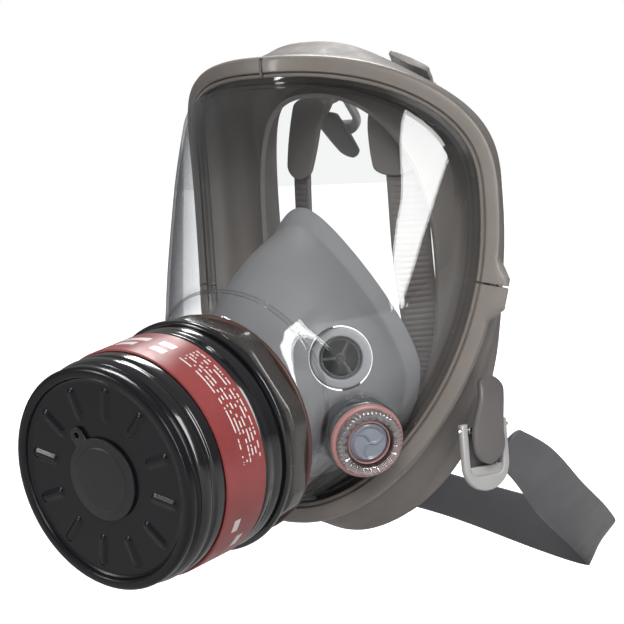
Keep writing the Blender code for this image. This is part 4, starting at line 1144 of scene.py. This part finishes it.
def make_lugs():
    """Strap lugs of the seal, and the neck strap's folded ends behind the lower buckles."""
    for side, word in SIDES:
        low = mirrored(side, LOWER_BUCKLE)
        out = Vector((side * 0.94, -0.34, 0.0))
        path = [
            low + Vector((side * 3.0, 4.0, 23.0)), low + out * 6.0 + Vector((0.0, 2.5, 14.0)),
            low + out * 4.4, low + out * 4.2 + Vector((0.0, 0.0, -8.0)),
            low + out * 3.0 + Vector((0.0, 0.0, -16.0)),
        ]
        band_piece(
            f"lug_lower_{word}_body", path, [out] * 5, (15.0, 13.5, 16.4, 16.8, 15.0), 3.4, LUG,
            (f"lug_lower_{word}",), 0.6, ends=(6.0, 8.0),
        )
        path = [low - out * 3.8 + Vector((0.0, 0.0, height)) for height in (1.0, -10.0, -20.0)]
        name = f"neck_strap_end_{word}"
        band_piece(name, path, [out] * 3, (17.0, 17.0, 17.0), 1.8, NECK, (), 2.0)
        up = Vector((side * 0.30, 0.40, 0.87))
        path = [(43.0, 62.5, 99.5), (36.0, 72.0, 98.0), (29.0, 83.5, 93.0), (27.0, 92.3, 82.0)]
        path = [mirrored(side, point) for point in path]
        faces = [up, up, Vector((0.0, 0.7, 0.7)), Vector((0.0, 0.9, 0.45))]
        # The upper lugs take the lighter, painted-sheen copy of the lug colour.
        band_piece(
            f"lug_upper_{word}_body", path, faces, (20.0, 20.0, 18.5, 16.0), 3.0, LUG_PAINTED_SHEEN,
            (f"lug_upper_{word}",), 0.8, ends=(4.0, 4.0),
        )


def make_straps():
    """Two ribbed head straps with their pads and free tails, and the neck strap's loop."""
    for side, word in SIDES:
        tail_x = -12.0 if side > 0 else -30.0
        turned_out = Vector((side * 0.485, -0.875, 0.0))
        path = [
            (side * 27.0, 81.0, 85.0), (side * 27.0, 77.0, 80.0), (side * 29.0, 71.5, 68.0),
            (side * 31.5, 68.5, 45.0), (side * 31.5, 68.5, 0.0), (side * 28.0, 79.0, -45.0),
            (side * 12.0 + tail_x * 0.5, 112.0, -82.0), (tail_x, 139.0, -99.0),
        ]
        faces = [
            (0.0, -0.7, 0.7), (0.0, -0.9, 0.4), turned_out, turned_out, turned_out, (side * 0.3, -0.9, -0.4),
            (0.0, -0.5, -0.8), (0.2, -0.5, -0.8),
        ]
        band_piece(
            f"upper_strap_{word}_band", path, faces, (19, 19, 19, 19, 19, 19, 18, 18), 2.4, STRAP,
            (f"upper_strap_{word}",), 0.55, rib=0.55, pitch=2.75, ends=(3.0, 3.0),
        )
        path = [(25.5, 73.0, 85.0), (26.5, 69.0, 74.0), (28.5, 66.5, 60.0), (30.5, 64.5, 47.0)]
        path = [mirrored(side, point) for point in path]
        faces = [(0.1, -0.95, 0.3), (0.29, -0.95, 0.1), (0.35, -0.93, 0.0), (0.4, -0.91, 0.0)]
        faces = [mirrored(side, face) for face in faces]
        band_piece(
            f"strap_pad_{word}_body", path, faces, (22.0, 26.0, 26.0, 23.0), 2.4, STRAP,
            (f"strap_pad_{word}",), 0.8, ends=(4.0, 6.0),
        )
        path = [(side * 27.0, 83.0, 77.0), (side * 27.0, 93.0, 66.0), (side * 27.0, 103.5, 54.5)]
        band_piece(
            f"strap_tail_{word}_body", path, [(0.0, 0.75, 0.6)] * 3, (16.0, 15.0, 11.0), 2.2, LUG,
            (f"strap_tail_{word}",), 0.8, ends=(2.0, 5.0),
        )
    path = [
        (71.0, 75.5, -80.0), (66.0, 104.0, -96.0), (51.0, 146.0, -121.0), (35.0, 192.0, -145.0),
        (20.0, 219.0, -158.5), (4.0, 203.0, -149.0), (-24.0, 166.0, -128.0), (-52.0, 118.0, -104.0),
        (-71.0, 75.5, -80.0),
    ]
    faces = [
        (0.80, 0.05, -0.45), (0.76, -0.09, -0.64), (0.76, -0.09, -0.64), (0.6, 0.25, -0.66),
        (-0.31, 0.82, -0.48), (-0.7, 0.45, 0.2), (-0.76, 0.09, 0.64), (-0.79, -0.1, 0.55), (-0.8, -0.2, 0.5),
    ]
    band_piece(
        "neck_strap_band", path, faces, (18, 24, 27, 27, 26, 27, 26, 24, 18), 2.4, NECK,
        ("neck_strap",), 1.6, ends=(4.0, 4.0),
    )


# ---- parts kept as CAD ----
def dress_inner_parts():
    """Sealed inner parts and fasteners keep their CAD shape and get finished materials."""
    finish = {
        "carbon_bed": CARBON, "particle_filter": PAPER, "front_screen": METAL, "rear_screen": METAL,
        "frame_screw_left": METAL, "frame_screw_right": METAL,
    }
    for node, mat in finish.items():
        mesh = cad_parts[node].data
        mesh.materials.clear()
        mesh.materials.append(mat)


# ---- stage ----
def make_stage():
    """Wide flat floor just under the object, pale grey in light and white where it is seen directly."""
    low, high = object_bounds()
    floor_z = low.z - 0.001
    reach = 3.0
    corners = [(x * reach, y * reach, floor_z) for x, y in ((-1, -1), (1, -1), (1, 1), (-1, 1))]
    mesh = bpy.data.meshes.new("stage_floor")
    mesh.from_pydata(corners, [], [(0, 1, 2, 3)])
    floor = placed("stage_floor", mesh)
    made = Nodes("pale_floor")
    drift = made.between(made.noise(3.0), 0.0, 1.0)
    seen = made.add("ShaderNodeLightPath").outputs["Is Camera Ray"]
    made.feed(Base_Color=made.colours(drift, (0.60, 0.60, 0.60), (0.62, 0.62, 0.62)), Roughness=0.8)
    made.feed(Specular_IOR_Level=0.0, Emission_Color=(1.0, 1.0, 1.0, 1.0), Emission_Strength=seen)
    mesh.materials.append(made.material)


CAMERA_AZ, CAMERA_EL, CAMERA_ROLL = math.radians(40.0), math.radians(6.0), math.radians(4.9)
CAMERA_DISTANCE, CAMERA_SHIFT, CAMERA_HEIGHT = 1.182, 0.019, -0.010


def camera_axes():
    """Directions to the right of, above and towards an upright camera."""
    back = direction(CAMERA_AZ, CAMERA_EL)
    right = Vector((math.cos(CAMERA_AZ), math.sin(CAMERA_AZ), 0.0))
    return right, back.cross(right), back


def make_camera():
    right, up, back = camera_axes()
    level = right * math.cos(CAMERA_ROLL) - up * math.sin(CAMERA_ROLL)
    upright = right * math.sin(CAMERA_ROLL) + up * math.cos(CAMERA_ROLL)
    data = bpy.data.cameras.new("camera")
    data.sensor_width = 36.0
    data.lens = 150.0
    data.clip_end = 50.0
    camera = placed("camera", data)
    camera.matrix_world = Matrix((level, upright, back)).transposed().to_4x4()
    camera.location = Vector((0.0, 0.0, CAMERA_HEIGHT)) + right * CAMERA_SHIFT + back * CAMERA_DISTANCE
    bpy.context.scene.camera = camera


def area_light(name, offset, size, power, target=(0.0, 0.0, -0.01)):
    """Softbox placed by how far it stands right of, above and towards the camera."""
    right, up, back = camera_axes()
    data = bpy.data.lights.new(name, "AREA")
    data.shape = "RECTANGLE"
    data.size, data.size_y = size
    data.energy = power
    light = placed(name, data)
    light.location = right * offset[0] + up * offset[1] + back * offset[2]
    light.rotation_mode = "QUATERNION"
    light.rotation_quaternion = (Vector(target) - light.location).to_track_quat("-Z", "Y")
    return light


def slant_softbox(light, slope, level):
    """Keeps only the part of a softbox above a slanting edge across it."""
    light.data.use_nodes = True
    made = Tree(light.data.node_tree)
    split = made.add("ShaderNodeSeparateXYZ")
    made.link(made.add("ShaderNodeNewGeometry").outputs["Parametric"], split.inputs["Vector"])
    rise = made.maths("MULTIPLY_ADD", split.outputs["Y"], slope, split.outputs["X"])
    kept = made.maths("GREATER_THAN", rise, level)
    made.link(kept, made.tree.nodes["Emission"].inputs["Strength"])


def make_lights():
    """One slanting window light, two fills, a narrow strip and the surroundings."""
    window = area_light("window_softbox", (0.653, 0.246, 1.182), (0.52, 1.2), 24.0, (0.073, 0.025, 0.052))
    slant_softbox(window, 1.15, 0.97)
    window.visible_diffuse = False
    fill = area_light("fill_softbox", (0.1, 0.65, 1.38), (0.8, 0.8), 26.0)
    fill.visible_glossy = False
    area_light("top_softbox", (0.15, 1.05, -0.80), (0.6, 0.35), 12.0)
    strip = area_light("left_strip", (-1.15, 0.28, 0.38), (0.12, 0.5), 4.0)
    strip.visible_diffuse = False
    make_world()


def make_world():
    """Pale surroundings: white where they are seen directly, dimmer and brighter from above as a light."""
    world = bpy.data.worlds.new("studio")
    bpy.context.scene.world = world
    bpy.context.scene.view_settings.view_transform = "Standard"
    world.use_nodes = True
    made = Tree(world.node_tree)
    seen = made.tree.nodes["Background"]
    seen.inputs["Color"].default_value = (1.0, 1.0, 1.0, 1.0)
    lit = made.add("ShaderNodeBackground")
    lit.inputs["Strength"].default_value = 0.42
    split = made.add("ShaderNodeSeparateXYZ")
    made.link(made.add("ShaderNodeTexCoord").outputs["Generated"], split.inputs["Vector"])
    made.link(made.between(split.outputs["Z"], 0.35, 1.0, -0.2, 0.9), lit.inputs["Color"])
    mix = made.add("ShaderNodeMixShader")
    made.link(made.add("ShaderNodeLightPath").outputs["Is Camera Ray"], mix.inputs["Fac"])
    made.link(lit.outputs["Background"], mix.inputs[1])
    made.link(seen.outputs["Background"], mix.inputs[2])
    made.link(mix.outputs["Shader"], made.tree.nodes["World Output"].inputs["Surface"])


make_frame()
make_lens()
make_face_seal()
make_nose_cup()
make_side_ports()
make_adapter()
make_canister()
make_buckles()
make_lugs()
make_straps()
dress_inner_parts()
make_stage()
make_camera()
make_lights()
